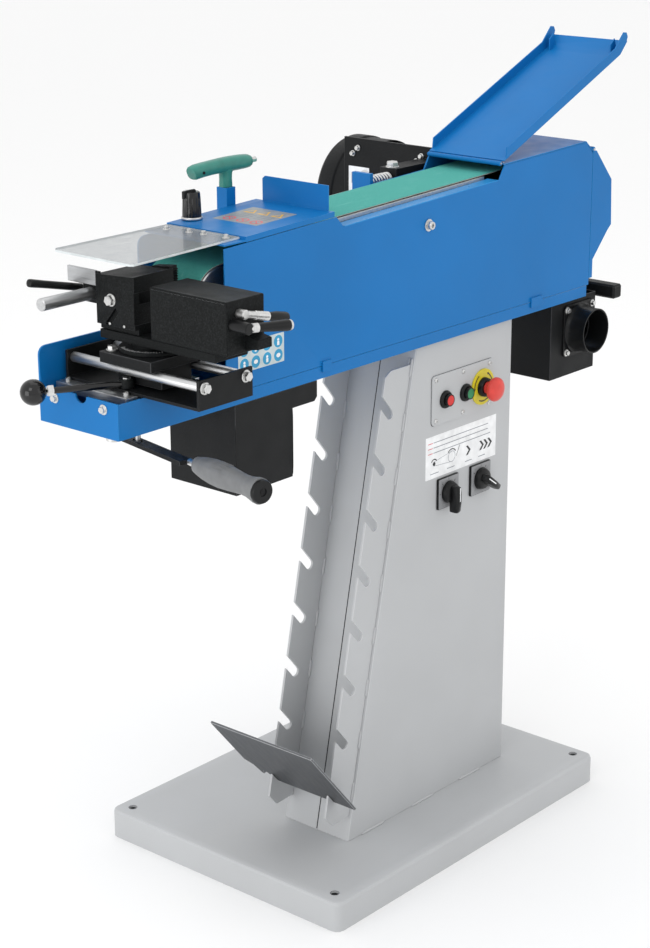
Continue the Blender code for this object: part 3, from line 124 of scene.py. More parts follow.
def add_bump(tree, shader, height, distance, strength=1.0):
    bump = tree.nodes.new("ShaderNodeBump")
    bump.inputs["Distance"].default_value = distance
    bump.inputs["Strength"].default_value = strength
    tree.links.new(height, bump.inputs["Height"])
    tree.links.new(bump.outputs["Normal"], shader.inputs["Normal"])


def scaled(colour, share):
    return tuple(min(1.0, channel * share) for channel in colour)


def powder_coat(name, colour, roughness, grain=650.0, depth=0.00006, tint=0.05):
    """Baked paint: an even colour with slow drifts, and fine orange peel."""
    made, tree, shader = principled(name, colour, roughness, shine=0.2)
    drift = noise(tree, 5.0, 3.0)
    stops = ((0.35, scaled(colour, 1 - tint)), (0.65, scaled(colour, 1 + tint)))
    tree.links.new(colour_ramp(tree, drift, stops), shader.inputs["Base Color"])
    tree.links.new(spread(tree, noise(tree, 40.0), roughness - 0.04, roughness + 0.05),
                   shader.inputs["Roughness"])
    add_bump(tree, shader, noise(tree, grain, 2.0), depth, 0.6)
    return made


def wrinkle_coat(name, colour, roughness=0.48, grain=900.0, depth=0.0003, shine=0.16):
    """Black textured paint: coarse grain with small light flecks where it catches the light."""
    made, tree, shader = principled(name, colour, roughness, shine=shine)
    grains = noise(tree, grain, 3.0)
    stops = ((0.42, colour), (0.62, scaled(colour, 1.9)), (0.75, scaled(colour, 3.2)))
    tree.links.new(colour_ramp(tree, grains, stops), shader.inputs["Base Color"])
    tree.links.new(spread(tree, noise(tree, 30.0), roughness - 0.06, roughness + 0.06),
                   shader.inputs["Roughness"])
    add_bump(tree, shader, grains, depth, 0.7)
    return made


def machined(name, colour, roughness, stretch=(1.0, 1.0, 1.0), streak=420.0):
    """Turned or ground steel with fine streaks along one direction."""
    made, tree, shader = principled(name, colour, roughness, 1.0)
    streaks = noise(tree, streak, 3.0, stretch)
    stops = ((0.3, scaled(colour, 0.9)), (0.7, scaled(colour, 1.08)))
    tree.links.new(colour_ramp(tree, streaks, stops), shader.inputs["Base Color"])
    tree.links.new(spread(tree, streaks, roughness - 0.06, roughness + 0.09), shader.inputs["Roughness"])
    add_bump(tree, shader, streaks, 0.000008, 0.3)
    return made


def moulded(name, colour, roughness, grain=1500.0, depth=0.00005, shine=0.4):
    made, tree, shader = principled(name, colour, roughness, shine=shine)
    drift = noise(tree, 60.0)
    stops = ((0.3, scaled(colour, 0.9)), (0.7, scaled(colour, 1.1)))
    tree.links.new(colour_ramp(tree, drift, stops), shader.inputs["Base Color"])
    add_bump(tree, shader, noise(tree, grain, 2.0), depth, 0.5)
    return made


def abrasive_cloth():
    """Green grain on cloth: dense grit, darker between the grains, with pale rub marks along the belt."""
    made, tree, shader = principled("abrasive_grain", (0.075, 0.39, 0.34), 0.85, shine=0.2)
    grit = noise(tree, 1500.0, 4.0)
    stops = ((0.36, (0.05, 0.29, 0.25)), (0.52, (0.075, 0.39, 0.34)), (0.7, (0.13, 0.52, 0.46)))
    grains = colour_ramp(tree, grit, stops)
    pale_marks = colour_ramp(tree, noise(tree, 260.0, 3.0, (0.08, 1.0, 0.35)),
                         ((0.62, (0, 0, 0)), (0.8, (0.5, 0.5, 0.5))))
    mixed = tree.nodes.new("ShaderNodeMix")
    mixed.data_type = "RGBA"
    tree.links.new(pale_marks, mixed.inputs["Factor"])
    tree.links.new(grains, mixed.inputs[6])
    mixed.inputs[7].default_value = (0.26, 0.62, 0.57, 1.0)
    tree.links.new(mixed.outputs[2], shader.inputs["Base Color"])
    add_bump(tree, shader, grit, 0.0004, 0.8)
    return made


def clear_polycarbonate():
    """Used clear sheet: mostly see-through, hazed by fine scratches."""
    made, tree, shader = principled("clear_polycarbonate", (0.36, 0.385, 0.4), 0.16)
    haze = noise(tree, 90.0, 4.0, (0.5, 1.5, 1.0))
    tree.links.new(spread(tree, haze, 0.46, 0.58), shader.inputs["Alpha"])
    tree.links.new(spread(tree, haze, 0.1, 0.26), shader.inputs["Roughness"])
    return made


BLUE = powder_coat("blue_coat", (0.004, 0.155, 0.445), 0.36)
# The lighter edge paints stand for the highlights along rounded edges: painted highlight.
BLUE_EDGE_HIGHLIGHT = powder_coat("blue_coat_edge_highlight", (0.02, 0.23, 0.55), 0.3)
GREY = powder_coat("grey_coat", (0.475, 0.485, 0.495), 0.42, tint=0.025)
GREY_EDGE_HIGHLIGHT = powder_coat("grey_coat_edge_highlight", (0.58, 0.59, 0.6), 0.38, tint=0.02)
BLACK = wrinkle_coat("black_coat", (0.006, 0.0065, 0.007))
BLACK_EDGE_HIGHLIGHT = wrinkle_coat("black_coat_edge_highlight", (0.03, 0.031, 0.033), 0.4)
# Bright steel for the strip that stands for the highlight along the moving jaw's front top edge: painted
# highlight.
EDGE_HIGHLIGHT_STEEL = machined("edge_highlight_steel", (0.42, 0.42, 0.43), 0.34)
CAST_BLACK = wrinkle_coat("cast_black", (0.007, 0.0078, 0.008), 0.42, 500.0, 0.0003, 0.08)
STEEL_X = machined("steel_along_x", (0.58, 0.585, 0.59), 0.38, (0.05, 1.0, 1.0))
STEEL_Y = machined("steel_along_y", (0.58, 0.585, 0.59), 0.38, (1.0, 0.05, 1.0))
STEEL_RING = machined("turned_steel", (0.6, 0.6, 0.6), 0.34)
ZINC = machined("zinc_plate", (0.66, 0.66, 0.65), 0.34, streak=200.0)
DARK_STEEL = machined("rolled_steel", (0.16, 0.165, 0.175), 0.42, (0.3, 1.0, 0.3), 120.0)
PAINT_STEEL = machined("ground_plate", (0.5, 0.51, 0.52), 0.4, (1.0, 0.06, 1.0), 260.0)
BLACK_PLASTIC = moulded("black_plastic_moulded", (0.006, 0.0065, 0.007), 0.34, shine=0.25)
BLACK_GLOSS = moulded("black_plastic_glossy", (0.004, 0.004, 0.0045), 0.1, 300.0, 0.00001, 0.5)
GREY_RUBBER = moulded("grey_rubber", (0.17, 0.175, 0.18), 0.55, 1100.0, 0.00012)
SWITCH_GREY = moulded("switch_face", (0.27, 0.275, 0.285), 0.36)
GREEN_HANDLE = moulded("green_handle", (0.035, 0.225, 0.18), 0.34, 700.0, 0.00004)
RED_CAP = moulded("red_cap", (0.62, 0.018, 0.016), 0.28)
RED_HEAD = moulded("red_head", (0.66, 0.055, 0.042), 0.36)
GREEN_CAP = moulded("green_cap", (0.012, 0.2, 0.075), 0.28)
YELLOW = moulded("yellow_collar", (0.66, 0.56, 0.022), 0.38)
WHITE = moulded("white_film", (0.82, 0.83, 0.84), 0.4)
SILVER_FILM = moulded("silver_film", (0.25, 0.27, 0.285), 0.38)
PALE_FILM = moulded("pale_film", (0.52, 0.6, 0.62), 0.4)
SIGN_BLUE = moulded("sign_blue", (0.02, 0.29, 0.52), 0.4)
SIGN_RED = moulded("sign_red", (0.6, 0.1, 0.12), 0.4)
SIGN_YELLOW = moulded("sign_yellow", (0.78, 0.44, 0.03), 0.4)
INK = moulded("ink", (0.02, 0.022, 0.025), 0.5)
GREY_INK = moulded("grey_ink", (0.22, 0.24, 0.27), 0.5)
CLOTH = moulded("belt_cloth", (0.46, 0.45, 0.41), 0.85, 900.0, 0.0002)
GRAIN = abrasive_cloth()
CLEAR = clear_polycarbonate()
FROST = moulded("frosted_edge", (0.62, 0.66, 0.67), 0.45)
SHADOW_GAP = principled("shadow_gap", (0.004, 0.004, 0.005), 0.9)[0]

# Finishes by slot: the paint of the faces, then the paint of the rounded edges, mostly a lighter copy standing for
# the highlights along them (painted highlight).
FINISH = {"blue_paint": (BLUE, BLUE_EDGE_HIGHLIGHT), "grey_paint": (GREY, GREY_EDGE_HIGHLIGHT),
          "black_paint": (BLACK, BLACK_EDGE_HIGHLIGHT),
          "dark_steel": (DARK_STEEL, PAINT_STEEL), "bright_steel": (STEEL_X, STEEL_X)}


# ---------------------------------------------------------------- mesh tools
AXIS_MAP = {
    "X": lambda a, b, along: (along, a, b),
    "Y": lambda a, b, along: (a, along, b),
    "Z": lambda a, b, along: (a, b, along),
}


def mm(*points, base=(0, 0, 0, 0)):
    """Points, or rows of sizes, given in millimetres from a base point in metres."""
    return [tuple(start + value / 1000 for start, value in zip(base, point)) for point in points]


def around(steps):
    """Evenly spaced angles of a full turn."""
    return [2 * pi * i / steps for i in range(steps)]


def bulge(value, power):
    """Signed power of a sine or cosine, which squares up or slims a round section."""
    return abs(value) ** power * (1 if value >= 0 else -1)


def to_piece(name, data, *paints, crease=35):
    bmesh.ops.recalc_face_normals(data, faces=data.faces)
    mesh = bpy.data.meshes.new(name)
    data.to_mesh(mesh)
    data.free()
    for paint in paints:
        mesh.materials.append(paint)
    piece = bpy.data.objects.new(name, mesh)
    bpy.context.scene.collection.objects.link(piece)
    mesh.shade_smooth()
    mesh.set_sharp_from_angle(angle=radians(crease))
    return piece


def bake_modifiers(piece):
    bpy.context.view_layer.update()
    evaluated = piece.evaluated_get(bpy.context.evaluated_depsgraph_get())
    mesh = bpy.data.meshes.new_from_object(evaluated)
    piece.modifiers.clear()
    piece.data = mesh
    return piece


def round_edges(piece, width, segments=2, edge_highlight=False):
    """Round the sharp edges. With the edge flag set, the rounded faces take the piece's second material: a lighter
    paint standing for the highlights along the edges, painted highlight.
    """
    bevel = piece.modifiers.new("edges", "BEVEL")
    bevel.width = width
    bevel.segments = segments
    bevel.limit_method = "ANGLE"
    bevel.angle_limit = radians(32)
    bevel.harden_normals = True
    if edge_highlight:
        bevel.material = 1
    return bake_modifiers(piece)


def prism(name, outline, axis, low, high, paint, edge=0, segments=2):
    place = AXIS_MAP[axis]
    data = bmesh.new()
    bottom = [data.verts.new(place(a, b, low)) for a, b in outline]
    top = [data.verts.new(place(a, b, high)) for a, b in outline]
    data.faces.new(bottom)
    data.faces.new(top)
    for i in range(len(outline)):
        j = (i + 1) % len(outline)
        data.faces.new((bottom[i], bottom[j], top[j], top[i]))
    piece = to_piece(name, data, paint)
    return round_edges(piece, edge, segments) if edge else piece


def block(name, x, y, z, paint, edge=0, segments=2):
    outline = [(x[0], y[0]), (x[1], y[0]), (x[1], y[1]), (x[0], y[1])]
    return prism(name, outline, "Z", z[0], z[1], paint, edge, segments)


def turned(name, profile, centre, axis, paint, steps=48, crease=35):
    """Profile points (radius, distance) spun about an axis: closed on itself unless it ends on the axis."""
    direction = Vector(axis).normalized()
    side = direction.orthogonal().normalized()
    other = direction.cross(side)
    data = bmesh.new()
    rings = []
    for radius, along in profile:
        at = Vector(centre) + direction * along
        if radius == 0:
            rings.append([data.verts.new(at)])
            continue
        spokes = [cos(turn) * side + sin(turn) * other for turn in around(steps)]
        rings.append([data.verts.new(at + radius * spoke) for spoke in spokes])
    pairs = list(zip(rings, rings[1:]))
    if len(rings[0]) > 1 and len(rings[-1]) > 1:
        pairs.append((rings[-1], rings[0]))
    for first, second in pairs:
        for i in range(steps):
            j = (i + 1) % steps
            corners = [first[i % len(first)], first[j % len(first)], second[j % len(second)],
                       second[i % len(second)]]
            unique = list(dict.fromkeys(corners))
            if len(unique) > 2:
                data.faces.new(unique)
    return to_piece(name, data, paint, crease=crease)


def cylinder(name, radius, low, high, centre, axis, paint, steps=48, crease=35):
    """Plain round bar from low to high along the axis."""
    profile = [(0, low), (radius, low), (radius, high), (0, high)]
    return turned(name, profile, centre, axis, paint, steps, crease)


def loft(name, rings, paint, crease=50):
    """Skin through rings of points of equal count, closed at both ends."""
    data = bmesh.new()
    skins = [[data.verts.new(point) for point in ring] for ring in rings]
    count = len(rings[0])
    for first, second in zip(skins, skins[1:]):
        for i in range(count):
            j = (i + 1) % count
            data.faces.new((first[i], first[j], second[j], second[i]))
    data.faces.new(skins[0])
    data.faces.new(skins[-1])
    return to_piece(name, data, paint, crease=crease)


def swept_tube(name, path, radius, paint, steps=12):
    """Round wire along a path of points."""
    rings = []
    side = (path[1] - path[0]).orthogonal().normalized()
    for i, point in enumerate(path):
        ahead = path[min(i + 1, len(path) - 1)] - path[max(i - 1, 0)]
        ahead.normalize()
        side = (side - ahead * side.dot(ahead)).normalized()
        other = ahead.cross(side)
        rings.append([point + radius * (cos(t) * side + sin(t) * other) for t in around(steps)])
    return loft(name, rings, paint)


def cut(piece, *tools):
    for tool in tools:
        modifier = piece.modifiers.new("cut", "BOOLEAN")
        modifier.operation = "DIFFERENCE"
        modifier.solver = "EXACT"
        modifier.object = tool
    bake_modifiers(piece)
    for tool in tools:
        bpy.data.objects.remove(tool)
    return piece


def gather(name, parts):
    """Make one piece of several, keeping each one's materials."""
    paints, data = [], bmesh.new()
    for part in parts:
        offset = {}
        for index, paint in enumerate(part.data.materials):
            if paint not in paints:
                paints.append(paint)
            offset[index] = paints.index(paint)
        before = len(data.faces)
        data.from_mesh(part.data)
        data.faces.ensure_lookup_table()
        for face in data.faces[before:]:
            face.material_index = offset.get(face.material_index, 0)
        bpy.data.objects.remove(part)
    mesh = bpy.data.meshes.new(name)
    data.to_mesh(mesh)
    data.free()
    for paint in paints:
        mesh.materials.append(paint)
    piece = bpy.data.objects.new(name, mesh)
    bpy.context.scene.collection.objects.link(piece)
    return piece


def attach(piece, body, slot, *nodes):
    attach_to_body(piece, body)
    if nodes:
        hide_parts(*nodes)
    return piece


def node_centre(node):
    low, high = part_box(node)
    return (low + high) / 2


def on_axis(joint):
    """Point of a hinge along Y where it meets the plane y = 0."""
    return Vector((PIVOT[joint].x, 0, PIVOT[joint].z))


def finished(node, parts):
    """Gather the parts into the piece that stands for a CAD node."""
    return attach(gather(node + "_finished", parts), BODY_OF[node], SLOT_OF[node], node)


def rounded_rectangle(x, z, radius, steps=5):
    points = []
    for cx, cz, start in ((x[1], z[1], 0), (x[0], z[1], 90), (x[0], z[0], 180), (x[1], z[0], 270)):
        inner_x = cx - radius if cx == x[1] else cx + radius
        inner_z = cz - radius if cz == z[1] else cz + radius
        for i in range(steps + 1):
            turn = radians(start + 90 * i / steps)
            points.append((inner_x + radius * cos(turn), inner_z + radius * sin(turn)))
    return points


def disc(centre, radius, steps=32, squeeze=1.0):
    return [(centre[0] + radius * cos(t), centre[1] + squeeze * radius * sin(t))
            for t in around(steps)]


# ---------------------------------------------------------------- carried-over sheet metal
def node_mesh(node):
    """Editable copy of a CAD node's mesh, with its flat faces whole again."""
    data = bmesh.new()
    data.from_mesh(frame["nodes"][node].data)
    bmesh.ops.remove_doubles(data, verts=data.verts, dist=MERGE_DISTANCE)
    bmesh.ops.dissolve_limit(data, angle_limit=FLAT_ANGLE, verts=data.verts, edges=data.edges)
    return data


def rounded_node(node, width, segments=2, paints=None):
    """The CAD node's own shape with rounded edges, standing for that node."""
    data = node_mesh(node)
    for face in data.faces:
        face.material_index = 0
    paints = paints or FINISH[SLOT_OF[node]]
    piece = to_piece(node + "_finished", data, *paints)
    # The second paint goes on the rounded edges: mostly a lighter copy that stands for their highlights, painted
    # highlight.
    round_edges(piece, width, segments, edge_highlight=len(paints) > 1)
    return attach(piece, BODY_OF[node], SLOT_OF[node], node)


# ---------------------------------------------------------------- hardware
def hex_bolt(at, axis, across, height, washer=0):
    """Zinc hexagon head with a chamfered crown, pointing along axis, on an optional washer."""
    radius = across / 2 / cos(pi / 6)
    parts = []
    base = 0
    if washer:
        base = 0.0014
        ring = [(0, 0), (washer, 0), (washer, base - 0.0003), (washer - 0.0003, base), (0, base)]
        parts.append(turned("washer", ring, at, axis, ZINC, 32))
    head = [(0, base), (radius, base), (radius, base + height * 0.82), (radius * 0.9, base + height),
            (0, base + height)]
    parts.append(turned("head", head, at, axis, ZINC, 6, crease=20))
    return parts


def cap_screw(at, axis, radius, height):
    """Cylinder head with a round socket."""
    socket, floor = radius * 0.55, height * 0.45
    head = [(0, 0), (radius, 0), (radius, height - 0.0005), (radius - 0.0005, height),
            (radius * 0.58, height), (socket, height - 0.0005), (socket, floor), (0, floor)]
    return [turned("cap", head, at, axis, ZINC, 24)]


def dome_screw(at, axis, radius, height):
    """Button head with a recess."""
    rise = [(radius * cos(t), height * (0.25 + 0.75 * sin(t))) for t in (0, 0.35, 0.7, 1.0)]
    head = [(0, 0), (radius, 0)] + rise
    head += [(radius * 0.42, height), (radius * 0.38, height * 0.5), (0, height * 0.5)]
    return [turned("dome", head, at, axis, ZINC, 24)]


def weld_bead(name, start, end, size, paint, seed=0):
    """A laid bead: a round section that swells and shrinks in small even ripples."""
    start, end = Vector(start), Vector(end)
    length = (end - start).length
    ahead = (end - start).normalized()
    side = ahead.orthogonal().normalized()
    other = ahead.cross(side)
    count = max(6, int(length / 0.0016))
    rings = []
    for i in range(count + 1):
        share = i / count
        swell = 1.0 + 0.12 * sin(i * pi * 0.9 + seed)
        taper = min(1.0, 6 * share + 0.3, 6 * (1 - share) + 0.3)
        radius = size * swell * taper
        centre = start + ahead * length * share
        rings.append([centre + radius * (cos(t) * side + sin(t) * other) for t in around(8)])
    return loft(name, rings, paint, crease=80)


# ---------------------------------------------------------------- stand
def column_face_x(z):
    """X of the column's leaning front face, read off the shell's own corners."""
    verts = [v.co for v in frame["nodes"]["column_shell"].data.vertices]
    low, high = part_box("column_shell")[0].z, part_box("column_shell")[1].z
    foot = min(v.x for v in verts if v.z < low + 0.001)
    top = min(v.x for v in verts if v.z > high - 0.001)
    return foot + (z - low) / (high - low) * (top - foot)


def stand():
    rounded_node("base_plate", 0.0012, 3)
    for node in ("column_shell", "rail_near", "rail_far"):
        rounded_node(node, 0.0006)
    # Its rounded edges take the lighter ground steel, standing for the highlights along them: painted highlight.
    rounded_node("support_plate", 0.0006, 2, (DARK_STEEL, PAINT_STEEL))
    low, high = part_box("column_shell")[0].z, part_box("column_shell")[1].z
    foot_x, top_x = column_face_x(low), column_face_x(high)
    seam_y = (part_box("rail_near")[1].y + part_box("rail_far")[0].y) / 2
    beads = []
    outline = [(foot_x - PROUD, low + 0.002), (foot_x + 0.0006, low + 0.002), (top_x + 0.0006, high),
               (top_x - PROUD, high)]
    beads.append(prism("seam", outline, "Y", seam_y - 0.0007, seam_y + 0.0007, SHADOW_GAP))
    for node in ("rail_near", "rail_far"):
        near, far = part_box(node)[0].y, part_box(node)[1].y
        for y in (near - 0.0004, far + 0.0004):
            for number in range(9):
                z = WELD_START + number * WELD_PITCH
                start, end = ((column_face_x(level) - 0.0012, y, level) for level in (z, z + WELD_LENGTH))
                beads.append(weld_bead("bead", start, end, 0.0021, GREY, number))
    for y in (COLUMN_NEAR - 0.0005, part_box("column_shell")[1].y + 0.0005):
        for start_x in (-0.15, -0.02, 0.11):
            start, end = (start_x, y, low + 0.0012), (start_x + 0.06, y, low + 0.0012)
            beads.append(weld_bead("bead", start, end, 0.0024, GREY, 1))
    attach(gather("column_welds", beads), "machine", "grey_paint")
    anchors = []
    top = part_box("base_plate")[1].z
    for x in (-ANCHOR_X, ANCHOR_X):
        for y in (-ANCHOR_Y, ANCHOR_Y):
            ring = mm((6.2, -4), (7.2, -4), (7.2, 0.3), (6.2, 0.4))
            anchors.append(turned("rim", ring, (x, y, top), Z_AXIS, DARK_STEEL, 24))
            plug = mm((0, -3.2), (6.1, -3.2), (6.1, -2.6), (0, -2.4))
            anchors.append(turned("plug", plug, (x, y, top), Z_AXIS, SHADOW_GAP, 24))
    attach(gather("anchor_rims", anchors), "machine", "dark_steel")


# ---------------------------------------------------------------- controls
def control_panel():
    rounded_node("control_plate", 0.0005, 3)
    low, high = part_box("control_plate")
    face = low.y
    screws = []
    for x in (low.x + 0.0095, (low.x + high.x) / 2, high.x - 0.0095):
        for z in (low.z + 0.007, high.z - 0.007):
            screws += dome_screw((x, face, z), -Y_AXIS, 0.0036, 0.0024)
    attach(gather("panel_screws", screws), "machine", "bright_steel")
    shade = rounded_rectangle((low.x - 0.0006, high.x + 0.0006), (low.z - 0.0008, high.z + 0.0004), 0.0066)
    attach(prism("panel_shadow_line", shade, "Y", COLUMN_NEAR - 0.00025, COLUMN_NEAR - 0.00005, SHADOW_GAP),
           "machine", "grey_paint")
    for name, cap in (("start", GREEN_CAP), ("stop", RED_CAP)):
        push_button(name, cap)
    emergency_stop()
    speed_label()
    for number, mark in ((1, 0), (2, radians(-55))):
        rotary_switch(number, mark)


def push_button(name, paint):
    """Deep black collar with a thin lip round a flat coloured cap."""
    centre = node_centre(name + "_bezel")
    at = Vector((centre.x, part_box("control_plate")[0].y, centre.z))
    depth = at.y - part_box(name + "_bezel")[0].y
    ring = [(0.0104, 0), (0.0146, 0), (0.0146, depth * 0.35), (0.0136, depth * 0.7)]
    ring += mm((12.4, -0.4), (12, 0), (10.8, 0), (10.4, -0.5), base=(0, depth))
    ring += mm((10.4, -26), (10.9, -26), (10.9, -0.3))
    bezel = turned(name + "_bezel_finished", ring, at - Y_AXIS * 0.0003, -Y_AXIS, BLACK_PLASTIC, 48)
    attach(bezel, "machine", "black_plastic", name + "_bezel")
    node = name + "_button"
    reach = at.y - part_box(node)[0].y
    rim = mm((0, -0.7), (8.3, -0.7), (8.7, 0), (9.4, 0), (9.9, -0.6), base=(0, reach))
    rim += [(0.0099, -0.009), (0, -0.009)]
    cap = turned(name + "_cap_rim", rim, at, -Y_AXIS, BLACK_PLASTIC, 48)
    face = mm((0, -0.1), (7.8, -0.1), (8.3, -0.5), (8.3, -0.8), (0, -0.8), base=(0, reach))
    lens = turned("lens", face, at, -Y_AXIS, paint, 48)
    attach(gather(name + "_cap", [cap, lens]), BODY_OF[node], SLOT_OF[node], node)


def emergency_stop():
    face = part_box("control_plate")[0].y - 0.0003
    centre = node_centre("e_stop_collar")
    at = Vector((centre.x, face, centre.z))
    thick = 0.0022
    flange = [(0.0104, 0), (0.03, 0)]
    flange += mm((30, -0.5), (29.5, 0), (17, 0), (17, 0.1), (10.4, 0.1), base=(0, thick))
    collar = turned("collar", flange, at, -Y_AXIS, YELLOW, 64)
    neck = [(0.0104, thick - 0.0002), (0.0162, thick - 0.0002)]
    neck += mm((15.2, 10.5), (14.8, 11), (11, 11), (10.4, 10.5), (10.4, -21.5))
    sleeve = turned("sleeve", neck, at, -Y_AXIS, BLACK_PLASTIC, 48)
    marks = []
    arc_radius, half_arc = 0.0236, 28
    for turn in (30, 150, 270):
        outline = arc_stroke((at.x, at.z), arc_radius, turn - half_arc, turn + half_arc, 0.001, 8)
        tip = radians(turn + half_arc)
        out, ahead = Vector((cos(tip), sin(tip))), Vector((-sin(tip), cos(tip)))
        middle = Vector((at.x, at.z)) + arc_radius * out
        arrow = [middle + out * 0.0026, middle + ahead * 0.004, middle - out * 0.0026]
        for name, shape in (("arc_mark", outline), ("arrow", [tuple(p) for p in arrow])):
            marks.append(prism(name, shape, "Y", face - thick - 0.0002, face - thick + 0.0001, INK))
    finished("e_stop_collar", [collar, sleeve] + marks)
    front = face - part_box("e_stop_button")[0].y
    head = mm((0, 0), (6, -0.2), (12, -1.2), (16.5, -3.2), (19, -5.8), (19.9, -8.5), (19.7, -11.5),
              (18.5, -14), (15, -16.8), (9.8, -17.5), base=(0, front))
    head += [(0.0098, -0.0115), (0, -0.0115)]
    button = turned("e_stop_head", head, at, -Y_AXIS, RED_HEAD, 64)
    attach(button, "e_stop", "red_plastic", "e_stop_button")


def film(shapes, y):
    """Flat printed shapes (outline, paint, layer) on the operator's side of a panel."""
    made = []
    for outline, paint, layer in shapes:
        made.append(prism("film", outline, "Y", y - FILM * (layer + 1), y + 0.0001, paint))
    return made


def bar(start, end, half):
    """A straight stroke from start to end in a label's plane."""
    a, b = Vector(start), Vector(end)
    across = Vector((-(b - a).y, (b - a).x)).normalized() * half
    return [tuple(a + across), tuple(b + across), tuple(b - across), tuple(a - across)]


def arc_stroke(centre, radius, start, stop, half, steps=10):
    """Outline of a stroke along an arc, from start to stop in degrees."""
    turns = [radians(start + (stop - start) * i / steps) for i in range(steps + 1)]
    points = [(radius + half, t) for t in turns] + [(radius - half, t) for t in reversed(turns)]
    return [(centre[0] + reach * cos(t), centre[1] + reach * sin(t)) for reach, t in points]


def speed_label():
    """White instruction film: plain rules, a sketch of the two pulleys, and slow and fast arrows."""
    x, z = (0.008, 0.195), (0.615, 0.686)
    shapes = [(rounded_rectangle(x, z, 0.0008, 2), WHITE, 0)]
    for row in range(3):
        level = z[1] - 0.0115 - row * 0.0085
        shapes.append((bar((x[0] + 0.006, level), (x[0] + 0.018, level), 0.0006), SIGN_RED, 1))
        shapes.append((bar((x[0] + 0.02, level), (x[1] - 0.022 + 0.006 * (row == 2), level), 0.0006),
                       GREY_INK, 1))
    small, large = (x[0] + 0.022, z[0] + 0.024), (x[0] + 0.068, z[0] + 0.026)
    shapes.append((disc(small, 0.0034), INK, 1))
    shapes.append((arc_stroke(large, 0.009, 0, 360, 0.0004, 40), GREY_INK, 1))
    shapes.append((arc_stroke(small, 0.0078, 35, 150, 0.0009), INK, 1))
    shapes.append((arc_stroke(large, 0.0125, 35, 140, 0.0009), INK, 1))
    for side in (1, -1):
        start, end = (small[0], small[1] + side * 0.0035), (large[0], large[1] + side * 0.0088)
        shapes.append((bar(start, end, 0.0003), GREY_INK, 1))
    shapes.append((bar((large[0] + 0.012, large[1] - 0.002), (large[0] + 0.021, large[1] + 0.015), 0.0005),
                   INK, 1))
    for start, count in ((x[0] + 0.106, 1), (x[0] + 0.142, 3)):
        for number in range(count):
            left = start + number * 0.011
            level = z[0] + 0.026
            arrow = mm((0, -8), (5, -8), (12.5, 0), (5, 8), (0, 8), (7.5, 0), base=(left, level))
            shapes.append((arrow, INK, 1))
    for start, width in mm((12, 22), (56, 20), (104, 18), (140, 18)):
        shapes.append((bar((x[0] + start, z[0] + 0.008), (x[0] + start + width, z[0] + 0.008), 0.0006),
                       GREY_INK, 1))
    attach(gather("speed_label", film(shapes, COLUMN_NEAR)), "machine", "grey_paint")


def rotary_switch(number, turn):
    plate_node, knob_node = "switch_plate_%d" % number, "switch_knob_%d" % number
    low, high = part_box(plate_node)
    outline = rounded_rectangle((low.x, high.x), (low.z, high.z), 0.0025)
    base = prism("base", outline, "Y", low.y + 0.0006, high.y, BLACK_PLASTIC, 0.0003, 1)
    outline = rounded_rectangle((low.x + 0.0018, high.x - 0.0008), (low.z + 0.0008, high.z - 0.0012), 0.002)
    face = prism("face", outline, "Y", low.y, low.y + 0.0012, SWITCH_GREY, 0.0002, 1)
    centre = node_centre(plate_node)
    for plate in (base, face):
        cut(plate, cylinder("bore", 0.0056, -0.02, 0.02, centre, Y_AXIS, BLACK_PLASTIC, 24))
    marks = []
    for angle in (-90, -45, 0, 45) if number == 1 else (-55, 0, 35):
        direction = Vector((sin(radians(angle)), cos(radians(angle))))
        start = Vector((centre.x, centre.z)) + direction * 0.0205
        marks.append((bar(start, start + direction * 0.0035, 0.0005), INK, 0))
    finished(plate_node, [base, face] + film(marks, low.y))
    hub = Vector((centre.x, low.y - 0.0003, centre.z))
    skirt = mm((0, 0), (18.3, 0), (18.5, 1.2), (17.2, 6), (16, 8.5), (14, 9.8), (0, 10))
    knob = turned("skirt", skirt, hub, -Y_AXIS, BLACK_PLASTIC, 48)
    shaft = cylinder("shaft", 0.005, -0.0165, 0.001, hub, -Y_AXIS, STEEL_Y, 20)
    foot, squareness = 0.004, 0.55
    rings = []
    for along, width, height in mm((12.5, 5, 17), (9.5, 6.6, 22.5), (0, 6.6, 24), (-15, 6, 24),
                                   (-29, 5.2, 22.5), (-32.5, 4.2, 20)):
        section = []
        for t in around(16):
            out = (foot + height) / 2 + (height - foot) / 2 * bulge(sin(t), squareness)
            section.append(Vector((width * bulge(cos(t), squareness), -out, along)))
        rings.append(section)
    grip = loft("grip", rings, BLACK_PLASTIC, 60)
    line = prism("line", bar((0, 0.0105), (0, -0.0125), 0.0009), "Y", -0.02412, -0.0235, WHITE)
    for part in (grip, line):
        part.data.transform(Matrix.Translation(hub) @ Matrix.Rotation(turn, 4, "Y"))
    finished(knob_node, [knob, shaft, grip, line])


# ---------------------------------------------------------------- head sheet metal
def head_covers():
    for node, width in (("head_frame", 0.0007), ("side_cover", 0.0006), ("front_top_cover", 0.0007),
                        ("rear_top_cover", 0.0005), ("top_flap", 0.0005), ("rear_cover", 0.0006)):
        rounded_node(node, width)
    safety_film()
    cover_screw()
    trough_bolts()
    warning_film()
    piano_hinges()
    shield()
    rolled_flange()


